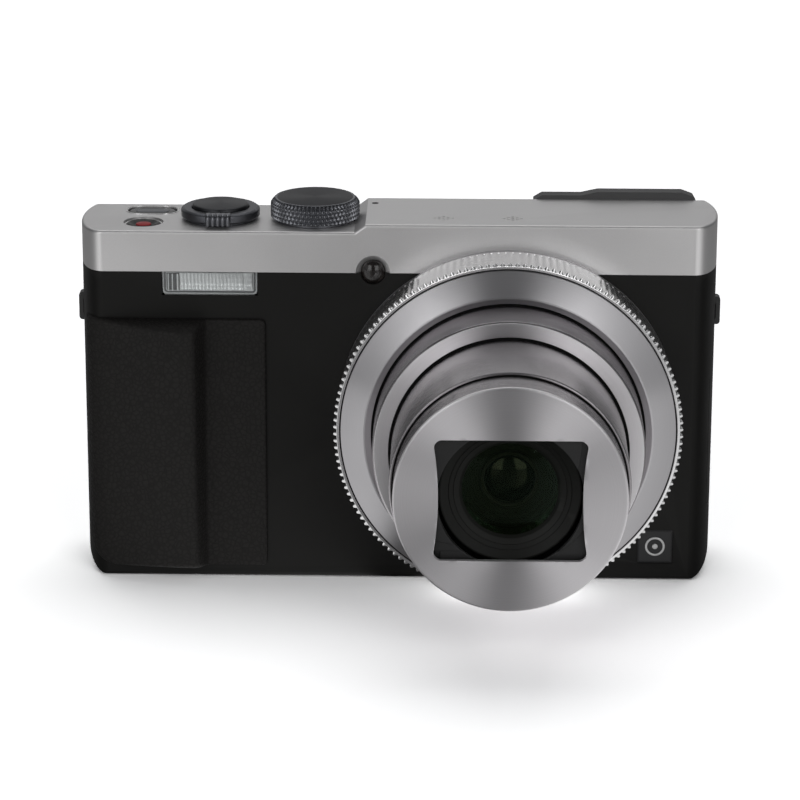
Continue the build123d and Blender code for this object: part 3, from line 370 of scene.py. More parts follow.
# CAD pieces by material; all others are PLASTIC
CAD_MATERIALS = (
    (SILVER, "top_cover"),
    (BLACK, "front_cover battery_door terminal_door"),
    (REAR_PAINTED_LIGHT, "rear_cover"),
    (FINDER, "evf_housing"),
    (INNER, "lens_housing iris_shutter_unit zoom_group_holder battery_box"),
    (LENS, "zoom_lens focus_lens"),
    (GLOSS, "image_sensor lcd_panel menu_set_button"),
    (STEEL, "zoom_motor door_hinge_pin tripod_socket case_screws"),
    (CELL, "flash_capacitor battery"),
    (BADGE, "badge_plate"),
    (BOARD, "main_board top_switch_board"),
    (SCREEN, "evf_lens lcd_window"),
    (CARD, "sd_card"),
    (BLADE, "strap_lugs barrier_blade_upper_inner barrier_blade_upper_outer"
            " barrier_blade_lower_inner barrier_blade_lower_outer"),
    (GRIP, "thumb_rest evf_eyecup"),
    (CHROME, "flash_reflector"),
)
material_of = {piece: material for material, pieces in CAD_MATERIALS for piece in pieces.split()}
for name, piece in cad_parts.items():
    piece.data.materials.clear()
    piece.data.materials.append(material_of.get(name, PLASTIC))


# ------------------------------------------------------------------ mesh tools
def add_mesh(name, verts, faces, material, body, sharp=38.0, replaces=None, weld=1e-7):
    """Cleans and shades a mesh, then hands it to the frame. sharp is in degrees."""
    mesh = bpy.data.meshes.new(name)
    mesh.from_pydata(verts, [], faces)
    bm = bmesh.new()
    bm.from_mesh(mesh)
    bmesh.ops.remove_doubles(bm, verts=bm.verts, dist=weld)
    bmesh.ops.dissolve_degenerate(bm, edges=bm.edges, dist=weld)
    bmesh.ops.recalc_face_normals(bm, faces=bm.faces)
    bm.to_mesh(mesh)
    bm.free()
    for polygon in mesh.polygons:
        polygon.use_smooth = True
    mesh.set_sharp_from_angle(angle=radians(sharp))
    mesh.materials.append(material)
    obj = bpy.data.objects.new(name, mesh)
    bpy.context.scene.collection.objects.link(obj)
    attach(obj, body)
    if replaces:
        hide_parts(replaces)


def lay(a, b, along, axis):
    """Places (a, b) across an axis: x, z across Y, or x, y across Z."""
    return point(a, b, along) if axis == "Z" else point(a, along, b)


def rounded(corners, steps=5):
    """Closed polygon of (a, b[, radius]): corners with a radius become arcs."""
    out = []
    for i, corner in enumerate(corners):
        tip = Vector(corner[:2])
        radius = corner[2] if len(corner) > 2 else 0.0
        if radius <= 0:
            out.append((tip.x, tip.y))
            continue
        before = Vector(corners[i - 1][:2]) - tip
        after = Vector(corners[(i + 1) % len(corners)][:2]) - tip
        limit = min(before.length * 0.49, after.length * 0.49)
        before.normalize()
        after.normalize()
        half = before.angle(after) / 2
        reach = min(radius / tan(half), limit)
        radius = reach * tan(half)
        centre = tip + (before + after).normalized() * (radius / sin(half))
        start = tip + before * reach - centre
        end = tip + after * reach - centre
        first = atan2(start.y, start.x)
        sweep = (atan2(end.y, end.x) - first + pi) % (2 * pi) - pi
        for j in range(steps + 1):
            angle = first + sweep * j / steps
            out.append((centre.x + radius * cos(angle), centre.y + radius * sin(angle)))
    return out


def lathe(name, section, material, body, axis="Y", centre=LENS_AXIS, segments=256,
          replaces=None, sharp=38.0, wave=None):
    """Turns a closed (radius, along) section; wave(radius, along, angle) reshapes it."""
    verts, faces = [], []
    size = len(section)
    for i in range(segments):
        angle = 2 * pi * i / segments
        for radius, along in section:
            if wave:
                radius = wave(radius, along, angle)
            verts.append(lay(centre[0] + radius * cos(angle), centre[1] + radius * sin(angle),
                             along, axis))
    for i in range(segments):
        j = (i + 1) % segments
        for q in range(size):
            w = (q + 1) % size
            if section[q][0] < 1e-6 and section[w][0] < 1e-6:
                continue
            faces.append((i * size + q, j * size + q, j * size + w, i * size + w))
    add_mesh(name, verts, faces, material, body, sharp, replaces, weld=2e-7)


def loft_faces(count, size, closed=False):
    """Joins count loops of size points: capped at both ends, or closed on itself."""
    faces = []
    for q in range(count if closed else count - 1):
        w = (q + 1) % count
        for i in range(size):
            j = (i + 1) % size
            faces.append((q * size + i, q * size + j, w * size + j, w * size + i))
    if not closed:
        for q in (0, count - 1):
            faces.append(tuple(q * size + i for i in range(size)))
    return faces


def sheet_faces(columns, rows):
    """Closes a front grid of points and the back grid listed after it into a solid."""
    faces = []
    back = columns * rows
    top = rows - 1
    for i in range(columns - 1):
        for j in range(top):
            a = i * rows + j
            b = a + rows
            faces.append((a, a + 1, b + 1, b))
            faces.append((back + a, back + b, back + b + 1, back + a + 1))
    for i in range(columns - 1):
        a, b = i * rows, (i + 1) * rows
        faces.append((a, b, back + b, back + a))
        faces.append((a + top, back + a + top, back + b + top, b + top))
    for j in range(top):
        faces.append((j, back + j, back + j + 1, j + 1))
        a = (columns - 1) * rows + j
        faces.append((a, a + 1, back + a + 1, back + a))
    return faces


def prism(name, outline, low, high, material, body, axis="Z", edge=0.12, steps=3,
          replaces=None):
    """Prism of a star-shaped outline from low to high along an axis, its rims rounded."""
    size = len(outline)
    centre = Vector((sum(p[0] for p in outline) / size, sum(p[1] for p in outline) / size))
    rim = []
    for i in range(size):
        p = Vector(outline[i])
        along = Vector(outline[(i + 1) % size]) - Vector(outline[i - 1])
        normal = Vector((along.y, -along.x)).normalized()
        if normal.dot(p - centre) < 0:
            normal = -normal
        rim.append((p, normal))
    turns = [pi / 2 * i / steps for i in range(steps + 1)]
    levels = [(edge * (1 - sin(a)), low + edge * (1 - cos(a))) for a in turns]
    levels += [(edge * (1 - cos(a)), high - edge * (1 - sin(a))) for a in turns]
    verts = []
    for inset, height in levels:
        for p, normal in rim:
            moved = p - normal * inset
            verts.append(lay(moved.x, moved.y, height, axis))
    add_mesh(name, verts, loft_faces(len(levels), size), material, body,
             replaces=replaces)


def band(name, outer, inner, low, high, material, body, axis="Z"):
    """Flat closed band between two outlines with the same number of points."""
    verts, faces = [], []
    size = len(outer)
    for height in (low, high):
        for outline in (outer, inner):
            verts.extend(lay(a, b, height, axis) for a, b in outline)
    for i in range(size):
        j = (i + 1) % size
        faces.append((i, j, size + j, size + i))
        faces.append((2 * size + i, 3 * size + i, 3 * size + j, 2 * size + j))
        faces.append((i, 2 * size + i, 2 * size + j, j))
        faces.append((size + i, size + j, 3 * size + j, 3 * size + i))
    add_mesh(name, verts, faces, material, body, sharp=30.0)


def slot_outline(centre, width, height):
    """Pill shape: straight sides and half-round ends."""
    radius = height / 2
    out = []
    for side, first in ((1, -90), (-1, 90)):
        middle = centre[0] + side * (width / 2 - radius)
        for i in range(15):
            angle = radians(first + 180 * i / 14)
            out.append((middle + radius * cos(angle), centre[1] + radius * sin(angle)))
    return out


def box_outline(centre, width, height, radius):
    """Rectangle with rounded corners."""
    x, y = centre
    return rounded([(x - width / 2, y - height / 2, radius), (x + width / 2, y - height / 2, radius),
                    (x + width / 2, y + height / 2, radius), (x - width / 2, y + height / 2, radius)],
                   steps=6)


def disc_outline(centre, radius, count):
    return [(centre[0] + radius * cos(2 * pi * i / count),
             centre[1] + radius * sin(2 * pi * i / count)) for i in range(count)]


def cap_section(half_width, height, base, steps, toward=1, reach=None):
    """Spherical cap from its crown out to reach, rising from base by toward * height."""
    ball = (half_width ** 2 + height ** 2) / (2 * height)
    radii = [(reach or half_width) * i / steps for i in range(steps + 1)]
    return [(r, base + toward * (sqrt(ball ** 2 - r ** 2) - (ball - height))) for r in radii]


def zigzag(phase):
    """Triangle wave: 1 at whole numbers, 0 halfway between."""
    return abs((phase % 1.0) - 0.5) * 2.0


def fluted(radius, limit, count, depth):
    """Wave for lathe() that cuts count flutes into everything from limit outward."""
    def wave(r, along, angle):
        if r < limit:
            return r
        cut = 1.5 * zigzag(angle / (2 * pi) * count) - 0.2
        return radius - depth * max(0.0, min(1.0, cut))
    return wave


# ------------------------------------------------------------------ lens control ring
RING_TEETH = 150
STEPS_PER_TOOTH = 10
RING_VALLEY = 29.40             # radius the teeth fade to at the front rim
RING_ROOT = 29.44               # radius between the teeth
TOOTH_DEPTH = 0.50              # height of the full teeth near the front
SHALLOW_DEPTH = 0.10            # height of the teeth over the rest of the ring

# radius, y; the points at 29.5 are reshaped by ring_wave
RING_SECTION = [
    (27.2, -1.15), (29.5, -1.15), (29.5, -1.3), (29.5, -1.65), (29.5, -1.85), (29.5, -4.0),
    (29.5, -6.5), (29.5, -8.55), (29.5, -9.05), (29.5, -10.1), (29.5, -10.2), (29.5, -10.38),
    (29.36, -10.47), (29.30, -10.5), (29.02, -10.5), (28.96, -10.47), (28.92, -10.42),
    (28.92, -10.0), (27.2, -10.0)]


def ring_wave(r, y, angle):
    if r < RING_VALLEY:
        return r
    gap = zigzag(angle / (2 * pi) * RING_TEETH)
    tooth = max(0.0, min(1.0, (0.82 - gap) / 0.66)) ** 0.9
    full = RING_ROOT + TOOTH_DEPTH * tooth
    if y > -1.7:                # plain collar at the rear
        return 29.52 if y < -1.25 else RING_ROOT
    if y < -10.1:               # teeth fade out at the front rim
        return RING_VALLEY + (full - RING_VALLEY) * max(0.0, (y + 10.38) / 0.28)
    if y < -9.0:
        return full
    return RING_VALLEY + SHALLOW_DEPTH * tooth


lathe("control_ring_knurled", RING_SECTION, KNURL, "control_ring",
      segments=RING_TEETH * STEPS_PER_TOOTH, replaces="control_ring", sharp=24.0,
      wave=ring_wave)
# black ring set in the gap between the teeth and the trim: painted shade for the gap's shadow
lathe("control_ring_gap_shade",
      rounded([(28.70, -10.02), (28.96, -10.02), (28.96, -10.30, 0.05), (28.93, -10.30),
               (28.93, -10.06), (28.70, -10.06)], steps=2),
      INNER, "control_ring")

# ------------------------------------------------------------------ fixed lens rings
# Sections of turned pieces are radius, y or z along the axis, and an optional corner radius.
lathe("lens_flange_turned",
      rounded([(26.5, 0.0), (29.44, 0.0), (29.44, -1.0, 0.12), (27.12, -1.0), (27.12, -9.9),
               (26.5, -9.9)]),
      TRIM, BODY, replaces="lens_flange_ring")
# conical ring in front of the flange
lathe("lens_trim_turned",
      rounded([(23.42, -10.0), (26.5, -10.0), (26.5, -9.9), (27.12, -9.9), (27.12, -10.1),
               (28.68, -10.1), (28.68, -10.56, 0.10), (24.75, -12.93, 0.18),
               (24.45, -12.98, 0.10), (23.42, -12.35, 0.08)], steps=6),
      TRIM, BODY, segments=320, replaces="lens_trim_ring")

# ------------------------------------------------------------------ barrels
# name, front edge y, section as radius, distance behind that edge, corner radius
BARRELS = (
    ("outer", OUTER_FRONT, [
        (19.87, 1.2), (19.87, 0.25, 0.06), (20.05, 0.12, 0.06), (22.62, 0.0, 0.12),
        (23.0, 0.38, 0.14), (23.0, 24.0), (21.6, 24.0), (21.6, 1.2)]),
    ("middle", MIDDLE_FRONT, [
        (19.17, 0.0, 0.05), (19.62, 0.0, 0.10), (19.8, 0.18, 0.08), (19.8, 22.5),
        (21.53, 22.5), (21.53, 24.0), (19.17, 24.0)]),
    ("front", NOSE, [(17.9, 0.8), (19.1, 0.8), (19.1, 23.0), (17.9, 23.0)]),
)
for name, edge_y, section in BARRELS:
    lathe(f"barrel_{name}_turned", rounded([(r, edge_y + y, *corner) for r, y, *corner in section]),
          BARREL, f"{name}_barrel", segments=320, replaces=f"barrel_{name}")

lathe("barrel_outer_face",
      rounded([(20.3, -21.3), (20.3, -21.74, 0.05), (22.66, -21.84, 0.06),
               (22.74, -21.76, 0.04), (22.74, -21.3)], steps=3),
      FACE, "outer_barrel", segments=320)

# near-black rings in the gaps between the barrels, painted shade for the gaps: name, body, inner and
# outer radius, front and rear y
GAP_SHADE_RINGS = (
    ("gap_shade_housing", BODY, 23.05, 23.40, -12.15, -10.2),
    ("gap_shade_outer", "outer_barrel", 19.83, 20.28, -21.8, -20.4),
    ("gap_shade_middle", "middle_barrel", 19.13, 19.42, -39.82, -38.9),
)
for name, body, inner, outer, front, rear in GAP_SHADE_RINGS:
    lathe(name, rounded([(inner, rear), (inner, front, 0.05), (outer, front - 0.02, 0.08),
                         (outer + 0.04, rear)], steps=3),
          RECESS_SHADE, body)

# ------------------------------------------------------------------ lens front plate
OPENING_HALF_WIDTH = 12.6       # at the top and bottom of the opening
OPENING_HALF_HEIGHT = 10.25
OPENING_WAIST = 11.7            # half width at mid height
OPENING_CORNER = 1.9
WAIST_REACH = 7.2               # the waisted sides are sampled between +-this height
OPENING_STEP = 0.25             # greatest spacing asked for along the opening
FLAT_RADIUS = 18.42             # where the plate's face ends
# rounded outer rim: radius, distance behind the nose
PLATE_RIM = ((18.55, 0.3), (18.78, 0.31), (18.9, 0.34), (19.0, 0.41), (19.06, 0.48),
             (19.1, 0.56), (19.1, 0.8))


def opening_outline():
    """Waisted opening as points round the lens axis."""
    def waist(z):
        flare = OPENING_HALF_WIDTH - OPENING_WAIST
        return OPENING_WAIST + flare * (z / OPENING_HALF_HEIGHT) ** 2

    x, z, corner = OPENING_HALF_WIDTH, OPENING_HALF_HEIGHT, OPENING_CORNER
    heights = [WAIST_REACH - 2 * WAIST_REACH * i / 60 for i in range(61)]
    outline = rounded(
        [(-x, z, corner), (x, z, corner)] + [(waist(h), h) for h in heights]
        + [(x, -z, corner), (-x, -z, corner)] + [(-waist(-h), -h) for h in heights], steps=10)
    dense = []
    for i, start in enumerate(outline):
        a, b = Vector(start), Vector(outline[(i + 1) % len(outline)])
        count = max(1, int((b - a).length / OPENING_STEP))
        dense.extend(a + (b - a) * (j / count) for j in range(count))
    return dense


def front_plate():
    """Shallow cone running from the opening to a rounded rim."""
    def face_y(r):
        return NOSE + 0.3 * max(0.0, min(1.0, (r - 12.0) / 6.5))

    outline = opening_outline()
    lip = 0.10                  # width of the eased edge round the opening
    rings = [[(p.length + grow, NOSE + depth) for p in outline]
             for grow, depth in ((0.0, 0.8), (0.0, 0.14), (0.03, 0.06))]
    for k in range(9):
        radii = [p.length + lip + (FLAT_RADIUS - p.length - lip) * k / 8 for p in outline]
        rings.append([(r, face_y(r)) for r in radii])
    rings += [[(r, NOSE + depth)] * len(outline) for r, depth in PLATE_RIM]
    verts = []
    for ring in rings:
        for (r, y), p in zip(ring, outline):
            angle = atan2(p.y, p.x)
            verts.append(point(LENS_AXIS[0] + r * cos(angle), y, LENS_AXIS[1] + r * sin(angle)))
    add_mesh("lens_plate_spun", verts, loft_faces(len(rings), len(outline), closed=True),
             PLATE, "front_barrel", sharp=30.0,
             replaces="lens_front_plate")


front_plate()

# ------------------------------------------------------------------ front element and behind
ELEMENT_RADIUS = 7.85
SECOND_RADIUS = 4.2

lathe("lens_holder_stepped",
      rounded([(ELEMENT_RADIUS, -40.1), (8.3, -40.6, 0.1), (9.2, -41.1), (9.25, -41.0),
               (10.0, -41.45), (10.05, -41.35), (11.3, -42.15, 0.1), (11.7, -42.2, 0.15),
               (11.7, -38.5), (17.9, -38.5), (17.9, -37.0), (9.3, -37.0), (9.3, -36.0),
               (ELEMENT_RADIUS, -36.0)], steps=4),
      INNER, "front_barrel", segments=192, replaces="front_lens_holder")
lathe("front_element",
      cap_section(ELEMENT_RADIUS, height=0.9, base=-40.05, steps=24, toward=-1)
      + cap_section(ELEMENT_RADIUS, height=0.8, base=-37.2, steps=24)[::-1],
      LENS, "front_barrel", segments=128, replaces="front_lens")
# stepped rings narrowing toward the rear... of the front element's cavity
lathe("inner_baffles",
      [(7.6, -35.9), (7.6, -35.6), (6.9, -35.6), (6.9, -35.2), (6.1, -35.2), (6.1, -34.9),
       (4.4, -34.9), (4.4, -34.7), (16.9, -34.7), (16.9, -35.9)],
      BAFFLE, "front_barrel", segments=96)
lathe("inner_lens_ring",
      rounded([(4.25, -35.0), (4.25, -35.45, 0.05), (4.75, -35.5, 0.12), (5.0, -35.2),
               (5.0, -35.0)], steps=4),
      INNER, "front_barrel", segments=96)
lathe("second_element_dome",
      cap_section(SECOND_RADIUS, height=1.1, base=-34.07, steps=16, toward=-1)
      + [(SECOND_RADIUS, -33.9), (0, -33.9)],
      SECOND_ELEMENT, "front_barrel", segments=96)

# ------------------------------------------------------------------ hand grip
GRIP_EDGE = -22.85              # x of the edge nearest the lens
GRIP_BOTTOM, GRIP_TOP = 2.2, 47.5
GRIP_COLUMNS, GRIP_ROWS = 200, 230
GRIP_CORNER = 1.3               # corners at the edge nearest the lens
# x, y of the grip's surface, from the lens side round to the end of the body
GRIP_PROFILE = [
    (GRIP_EDGE, -0.02), (-22.95, -0.42), (-23.4, -0.6), (-26.0, -0.6), (-30.0, -0.6),
    (-32.6, -0.62), (-33.35, -0.95), (-33.85, -2.0), (-34.35, -3.4), (-34.85, -4.5),
    (-35.5, -4.93), (-36.4, -4.95), (-38.5, -4.68), (-42.0, -3.95), (-46.0, -2.85),
    (-49.5, -1.65), (-51.8, -0.55), (-53.3, 0.65), (-54.15, 2.3)]


def body_y(x):
    """y of the body's front surface, which curves back at both ends."""
    if abs(x) <= BODY_STRAIGHT:
        return 0.0
    u = min(1.0, (abs(x) - BODY_STRAIGHT) / BODY_END)
    return BODY_DEPTH / 2 - BODY_DEPTH / 2 * sqrt(max(0.0, 1 - u * u))


def catmull_rom(points, steps):
    out = []
    last = len(points) - 1
    for i in range(last):
        p0, p1, p2, p3 = (Vector(points[k])
                          for k in (max(i - 1, 0), i, i + 1, min(i + 2, last)))
        for j in range(steps):
            t = j / steps
            out.append(0.5 * ((2 * p1) + (p2 - p0) * t
                              + (2 * p0 - 5 * p1 + 4 * p2 - p3) * t * t
                              + (3 * p1 - p0 - 3 * p2 + p3) * t ** 3))
    out.append(Vector(points[-1]))
    return out


def even_spacing(curve, count):
    """Resamples a curve into count equal lengths; returns the points and total length."""
    lengths = [0.0]
    for a, b in zip(curve, curve[1:]):
        lengths.append(lengths[-1] + (b - a).length)
    out = []
    k = 0
    for i in range(count + 1):
        s = lengths[-1] * i / count
        while k < len(curve) - 2 and lengths[k + 1] < s:
            k += 1
        t = (s - lengths[k]) / max(1e-9, lengths[k + 1] - lengths[k])
        out.append(curve[k] + (curve[k + 1] - curve[k]) * t)
    return out, lengths[-1]


def outward_normal(profile, i):
    """Faces forward along the front and to -X round the end."""
    along = (profile[min(i + 1, len(profile) - 1)] - profile[max(i - 1, 0)]).normalized()
    normal = Vector((along.y, -along.x))
    inward = normal.y if profile[i].x > -50 else normal.x
    return -normal if inward > 0 else normal


def leather_relief(x, y, z):
    """Height of the modelled grain: creases between cells plus soft noise."""
    wobble = 0.35 * noise.noise(Vector((x, y, z)) * 0.9)
    nearest = noise.voronoi(Vector((x * 1.7 + wobble, y * 1.7, z * 1.7)))[0]
    cell = min(1.0, (nearest[1] - nearest[0]) / 0.35)
    soft = noise.noise(Vector((x * 2.4, y * 2.4, z * 2.4)))
    return 0.020 * (cell - 1.0) + 0.010 * soft


def hand_grip():
    profile, total = even_spacing(catmull_rom(GRIP_PROFILE, steps=24), GRIP_COLUMNS)
    front, back = [], []
    for i, p in enumerate(profile):
        normal = outward_normal(profile, i)
        foot_y = body_y(p.x)
        if p.x < -BODY_STRAIGHT and foot_y <= p.y:
            foot_y = p.y + 0.05
        foot = Vector((p.x, foot_y))    # the body's surface behind this point
        from_side = min(i, GRIP_COLUMNS - i) / GRIP_COLUMNS * total
        rounding = 0.35 + 1.45 * min(1.0, (p - foot).length / 5.0)
        # the lower edge sweeps up round the end of the body
        turn = max(0.0, min(0.985, (-49.2 - p.x) / 5.1))
        bottom = GRIP_BOTTOM + 4.8 * (1.0 - sqrt(1.0 - turn * turn))
        for j in range(GRIP_ROWS + 1):
            v = j / GRIP_ROWS
            v -= 0.055 * sin(2 * pi * v)    # packs the rows toward top and bottom
            z = bottom + (GRIP_TOP - bottom) * max(0.0, min(1.0, v))
            from_edge = min(z - bottom, GRIP_TOP - z)
            swell = 1.0
            if from_edge < rounding:
                swell = sqrt(max(0.0, 1 - (1 - from_edge / rounding) ** 2))
            x = foot.x + (p.x - foot.x) * swell
            y = foot.y + (p.y - foot.y) * swell
            if p.x > GRIP_EDGE - GRIP_CORNER and from_edge < GRIP_CORNER:
                chord = sqrt(max(0.0, GRIP_CORNER ** 2 - (GRIP_CORNER - from_edge) ** 2))
                x = min(x, GRIP_EDGE - GRIP_CORNER + chord)
            fade = min(1.0, from_edge / 1.2) * min(1.0, from_side / 1.0)
            if fade > 0:
                relief = leather_relief(x, y, z) * fade
                x += normal.x * relief
                y += normal.y * relief
            front.append(point(x, y, z))
            back_x = min(x, foot.x) if foot.x > -BODY_STRAIGHT else foot.x
            back.append(point(back_x, foot.y + 0.02, z))
    add_mesh("hand_grip_leather", front + back,
             sheet_faces(GRIP_COLUMNS + 1, GRIP_ROWS + 1),
             GRIP, BODY, sharp=60.0, replaces="grip")


hand_grip()

# ------------------------------------------------------------------ mode dial
DIAL_KNURLS = 62
KNURL_BASE = 63.62              # z where the knurled band starts
KNURL_HEIGHT = 3.2


def dial_rim(z):
    """Radius of the dial's side, drawn in toward the top."""
    return 7.75 - 0.72 * max(0.0, (z - 66.0) / 0.85) ** 1.3


def dial_wave(r, z, angle):
    """Diamond knurl: two sets of grooves crossing."""
    if r < 6.99 or z < 63.61 or z > 66.83:
        return r
    u = DIAL_KNURLS * angle / (2 * pi)
    v = (z - KNURL_BASE) / 3.0 * 4.0
    groove = min(zigzag(u + v / 2), zigzag(u - v / 2))
    return dial_rim(z) - 0.33 * (1.0 - min(1.0, 1.45 * groove))


knurl_levels = [KNURL_BASE + KNURL_HEIGHT * i / 44 for i in range(45)]
lathe("mode_dial_knurled",
      [(0, 58.0), (1.5, 58.0), (1.5, 63.02), (7.0, 63.02), (7.12, 63.1), (7.15, 63.4),
       (7.4, 63.5), (7.45, 63.6)]
      + [(dial_rim(z), z) for z in knurl_levels]
      + [(6.97, 66.9), (6.86, 66.94), (6.72, 66.95), (6.64, 66.92), (6.0, 66.90),
         (4.0, 66.90), (2.0, 66.90), (0, 66.90)],
      DIAL, "mode_dial", axis="Z", centre=MODE_DIAL, segments=DIAL_KNURLS * 8,
      replaces="mode_dial", wave=dial_wave, sharp=26.0)
lathe("mode_dial_cap",
      rounded([(0, 66.89), (0, 66.93), (6.6, 66.93, 0.02), (6.6, 66.89)], steps=2),
      DIAL_TOP, "mode_dial", axis="Z", centre=MODE_DIAL, segments=128)

# ------------------------------------------------------------------ zoom lever and shutter
lathe("zoom_lever_ring",
      rounded([(4.92, 60.6), (5.9, 60.6), (5.9, 63.02), (6.35, 63.05), (6.4, 63.4),
               (6.6, 63.42, 0.05), (6.85, 63.65, 0.12), (6.85, 64.75, 0.3), (6.4, 65.1, 0.2),
               (5.15, 65.1, 0.1), (4.92, 64.9, 0.08)]),
      LEVER, "zoom_lever", axis="Z", centre=SHUTTER, segments=160,
      replaces="zoom_lever")

TAB_WIDTH = 4.3
TAB_STATIONS = 81
TAB_RIBS = 5
# y from the shutter's axis, z
TAB_SECTION = [
    (-5.9, 63.3), (-7.6, 63.3), (-7.85, 63.45), (-7.95, 64.3), (-7.9, 64.85),
    (-7.72, 65.18), (-7.35, 65.42), (-6.6, 65.5), (-6.0, 65.4), (-5.85, 64.6)]


def zoom_lever_tab():
    """Thumb tab on the front of the lever, ribbed across its width."""
    core = Vector((-6.0, 64.2))     # the ribs swell outward from this line
    verts = []
    for i in range(TAB_STATIONS):
        u = i / (TAB_STATIONS - 1)
        x = SHUTTER[0] - TAB_WIDTH / 2 + TAB_WIDTH * u
        end_ease = min(1.0, min(u, 1 - u) * (TAB_STATIONS - 1) / 3.0)
        rib = 0.5 - 0.5 * cos(2 * pi * u * TAB_RIBS)
        swell = 0.30 * (rib ** 0.6 - 1.0) - 0.14 * (1 - end_ease)
        for y, z in TAB_SECTION:
            if y < -6.2:
                arm = Vector((y, z)) - core
                arm = arm + arm.normalized() * swell
                y, z = core.x + arm.x, max(63.25, core.y + arm.y)
            verts.append(point(x, SHUTTER[1] + y, z))
    add_mesh("zoom_lever_tab", verts, loft_faces(TAB_STATIONS, len(TAB_SECTION)),
             DIAL, "zoom_lever", sharp=40.0)


zoom_lever_tab()
lathe("shutter_button_spun",
      [(0, 59.4), (1.2, 59.4), (1.2, 64.0), (4.85, 64.0), (4.85, 65.2), (4.83, 65.38),
       (4.76, 65.52), (4.64, 65.62)]
      + cap_section(4.45, height=0.22, base=65.68, steps=20)[::-1],
      BUTTON, "shutter_button", axis="Z", centre=SHUTTER, segments=128,
      replaces="shutter_button")

# ------------------------------------------------------------------ power and movie buttons
prism("power_button_pill", slot_outline(POWER_BUTTON, 8.3, 4.7), 60.0, 62.92,
      GLOSS_PILL, "power_button", edge=0.35, steps=5, replaces="power_button")
prism("power_button_inlay", slot_outline(POWER_BUTTON, 6.0, 2.5), 62.88, 62.97,
      LEVER, "power_button", edge=0.04, steps=2)
band("power_recess_rim", slot_outline(POWER_BUTTON, 9.5, 5.9),
     slot_outline(POWER_BUTTON, 8.95, 5.35), 62.9, 63.07, CHROME, BODY)

lathe("movie_button_dished",
      rounded([(0, 60.0), (2.88, 60.0), (2.88, 62.75, 0.2), (2.45, 62.88, 0.12),
               (1.7, 62.45, 0.3), (0, 62.40)]),
      BLADE, "movie_button", axis="Z", centre=MOVIE_BUTTON, segments=96,
      replaces="movie_button")
lathe("movie_button_red",
      rounded([(0, 62.35), (1.35, 62.35), (1.35, 62.7, 0.18), (0, 62.86)]),
      RED, "movie_button", axis="Z", centre=MOVIE_BUTTON, segments=64)
lathe("movie_recess_rim",
      rounded([(2.96, 62.46), (3.4, 62.46), (3.4, 62.72, 0.05), (3.05, 62.62, 0.05)], steps=3),
      CHROME, BODY, axis="Z", centre=MOVIE_BUTTON, segments=96)
# near-black slot in the small hole on top: painted shade for the hole
prism("status_led_window", slot_outline((-4.3, 15.0), 1.2, 0.95), 64.2, 64.43,
      RECESS_SHADE, BODY, edge=0.02, steps=1)

# ------------------------------------------------------------------ flash unit
FLASH_LEFT, FLASH_RIGHT = -40.7, -24.25
FLASH_BOTTOM, FLASH_TOP = 51.6, 55.8
FLASH_MIDDLE = (FLASH_BOTTOM + FLASH_TOP) / 2


def flash_outline(inset, top_inset, radius):
    """The window's outline drawn in, with only its lower corners rounded."""
    left, right = FLASH_LEFT + inset, FLASH_RIGHT - inset
    bottom, top = FLASH_BOTTOM + inset, FLASH_TOP - top_inset
    return rounded([(left, bottom, radius), (right, bottom, radius), (right, top),
                    (left, top)], steps=8)


window = flash_outline(inset=0.0, top_inset=0.0, radius=0.8)
step_1 = flash_outline(inset=0.32, top_inset=0.2, radius=0.55)
step_2 = flash_outline(inset=0.62, top_inset=0.3, radius=0.35)
step_3 = flash_outline(inset=0.75, top_inset=0.4, radius=0.3)
prism("flash_window_clear", window, 0.02, 0.5, WINDOW, BODY, axis="Y",
      replaces="flash_window")
# the two bright rings stand in for light caught on the clear window's edges, painted highlights; the
# dark ring between them is painted shadow
for name, outer, inner, front, rear, material in (
        ("outer", window, step_1, 0.6, 0.9, FLASH_BRIGHT),
        ("shadow", step_1, step_2, 0.75, 0.95, FLASH_DARK),
        ("inner", step_2, step_3, 0.6, 0.9, FLASH_BRIGHT)):
    band(f"flash_bezel_{name}", outer, inner, front, rear, material, BODY, "Y")

GRID_LEFT, GRID_WIDTH = -37.75, 12.65
GRID_COLUMNS, GRID_ROWS = 170, 24
GRID_RIB_PITCH, GRID_ROW_PITCH = 0.62, 0.9
GRID_BACK = 1.06                # y
BULGE_LEFT, BULGE_WIDTH = -26.9, 1.75


def flash_grid():
    """Concave diffuser with a fine grid; its +X end bulges forward."""
    front, back = [], []
    for i in range(GRID_COLUMNS + 1):
        x = GRID_LEFT + GRID_WIDTH * i / GRID_COLUMNS
        bulge = 0.0
        if x >= BULGE_LEFT:
            bulge = -0.30 * sin(pi * min(1.0, (x - BULGE_LEFT) / BULGE_WIDTH))
        for j in range(GRID_ROWS + 1):
            t = j / GRID_ROWS
            z = FLASH_BOTTOM + 0.72 + (FLASH_TOP - FLASH_BOTTOM - 1.05) * t
            dish = 0.20 * sin(pi * t)
            ribs = 0.05 * zigzag(x / GRID_RIB_PITCH) ** 4
            rows = 0.04 * zigzag(z / GRID_ROW_PITCH) ** 6
            y = 0.80 + dish - ribs - rows + bulge * sin(pi * (0.15 + 0.7 * t))
            front.append(point(x, y, z))
            back.append(point(x, GRID_BACK, z))
    add_mesh("flash_grid_diffuser", front + back, sheet_faces(GRID_COLUMNS + 1, GRID_ROWS + 1),
             FLASH_BRIGHT, BODY, sharp=20.0)


flash_grid()
prism("flash_side_back", box_outline((-39.0, FLASH_MIDDLE), 2.1, 3.2, 0.2), 0.95, 1.07,
      FLASH_DARK, BODY, axis="Y", edge=0.03, steps=1)
# upright ribs in front of it: x, width
for k, (x, width) in enumerate(((-39.65, 0.26), (-38.95, 0.26), (-38.05, 0.34))):
    prism(f"flash_side_rib_{k}", box_outline((x, FLASH_MIDDLE), width, 3.1, 0.08), 0.62, 0.97,
          FLASH_BRIGHT, BODY, axis="Y", edge=0.08)

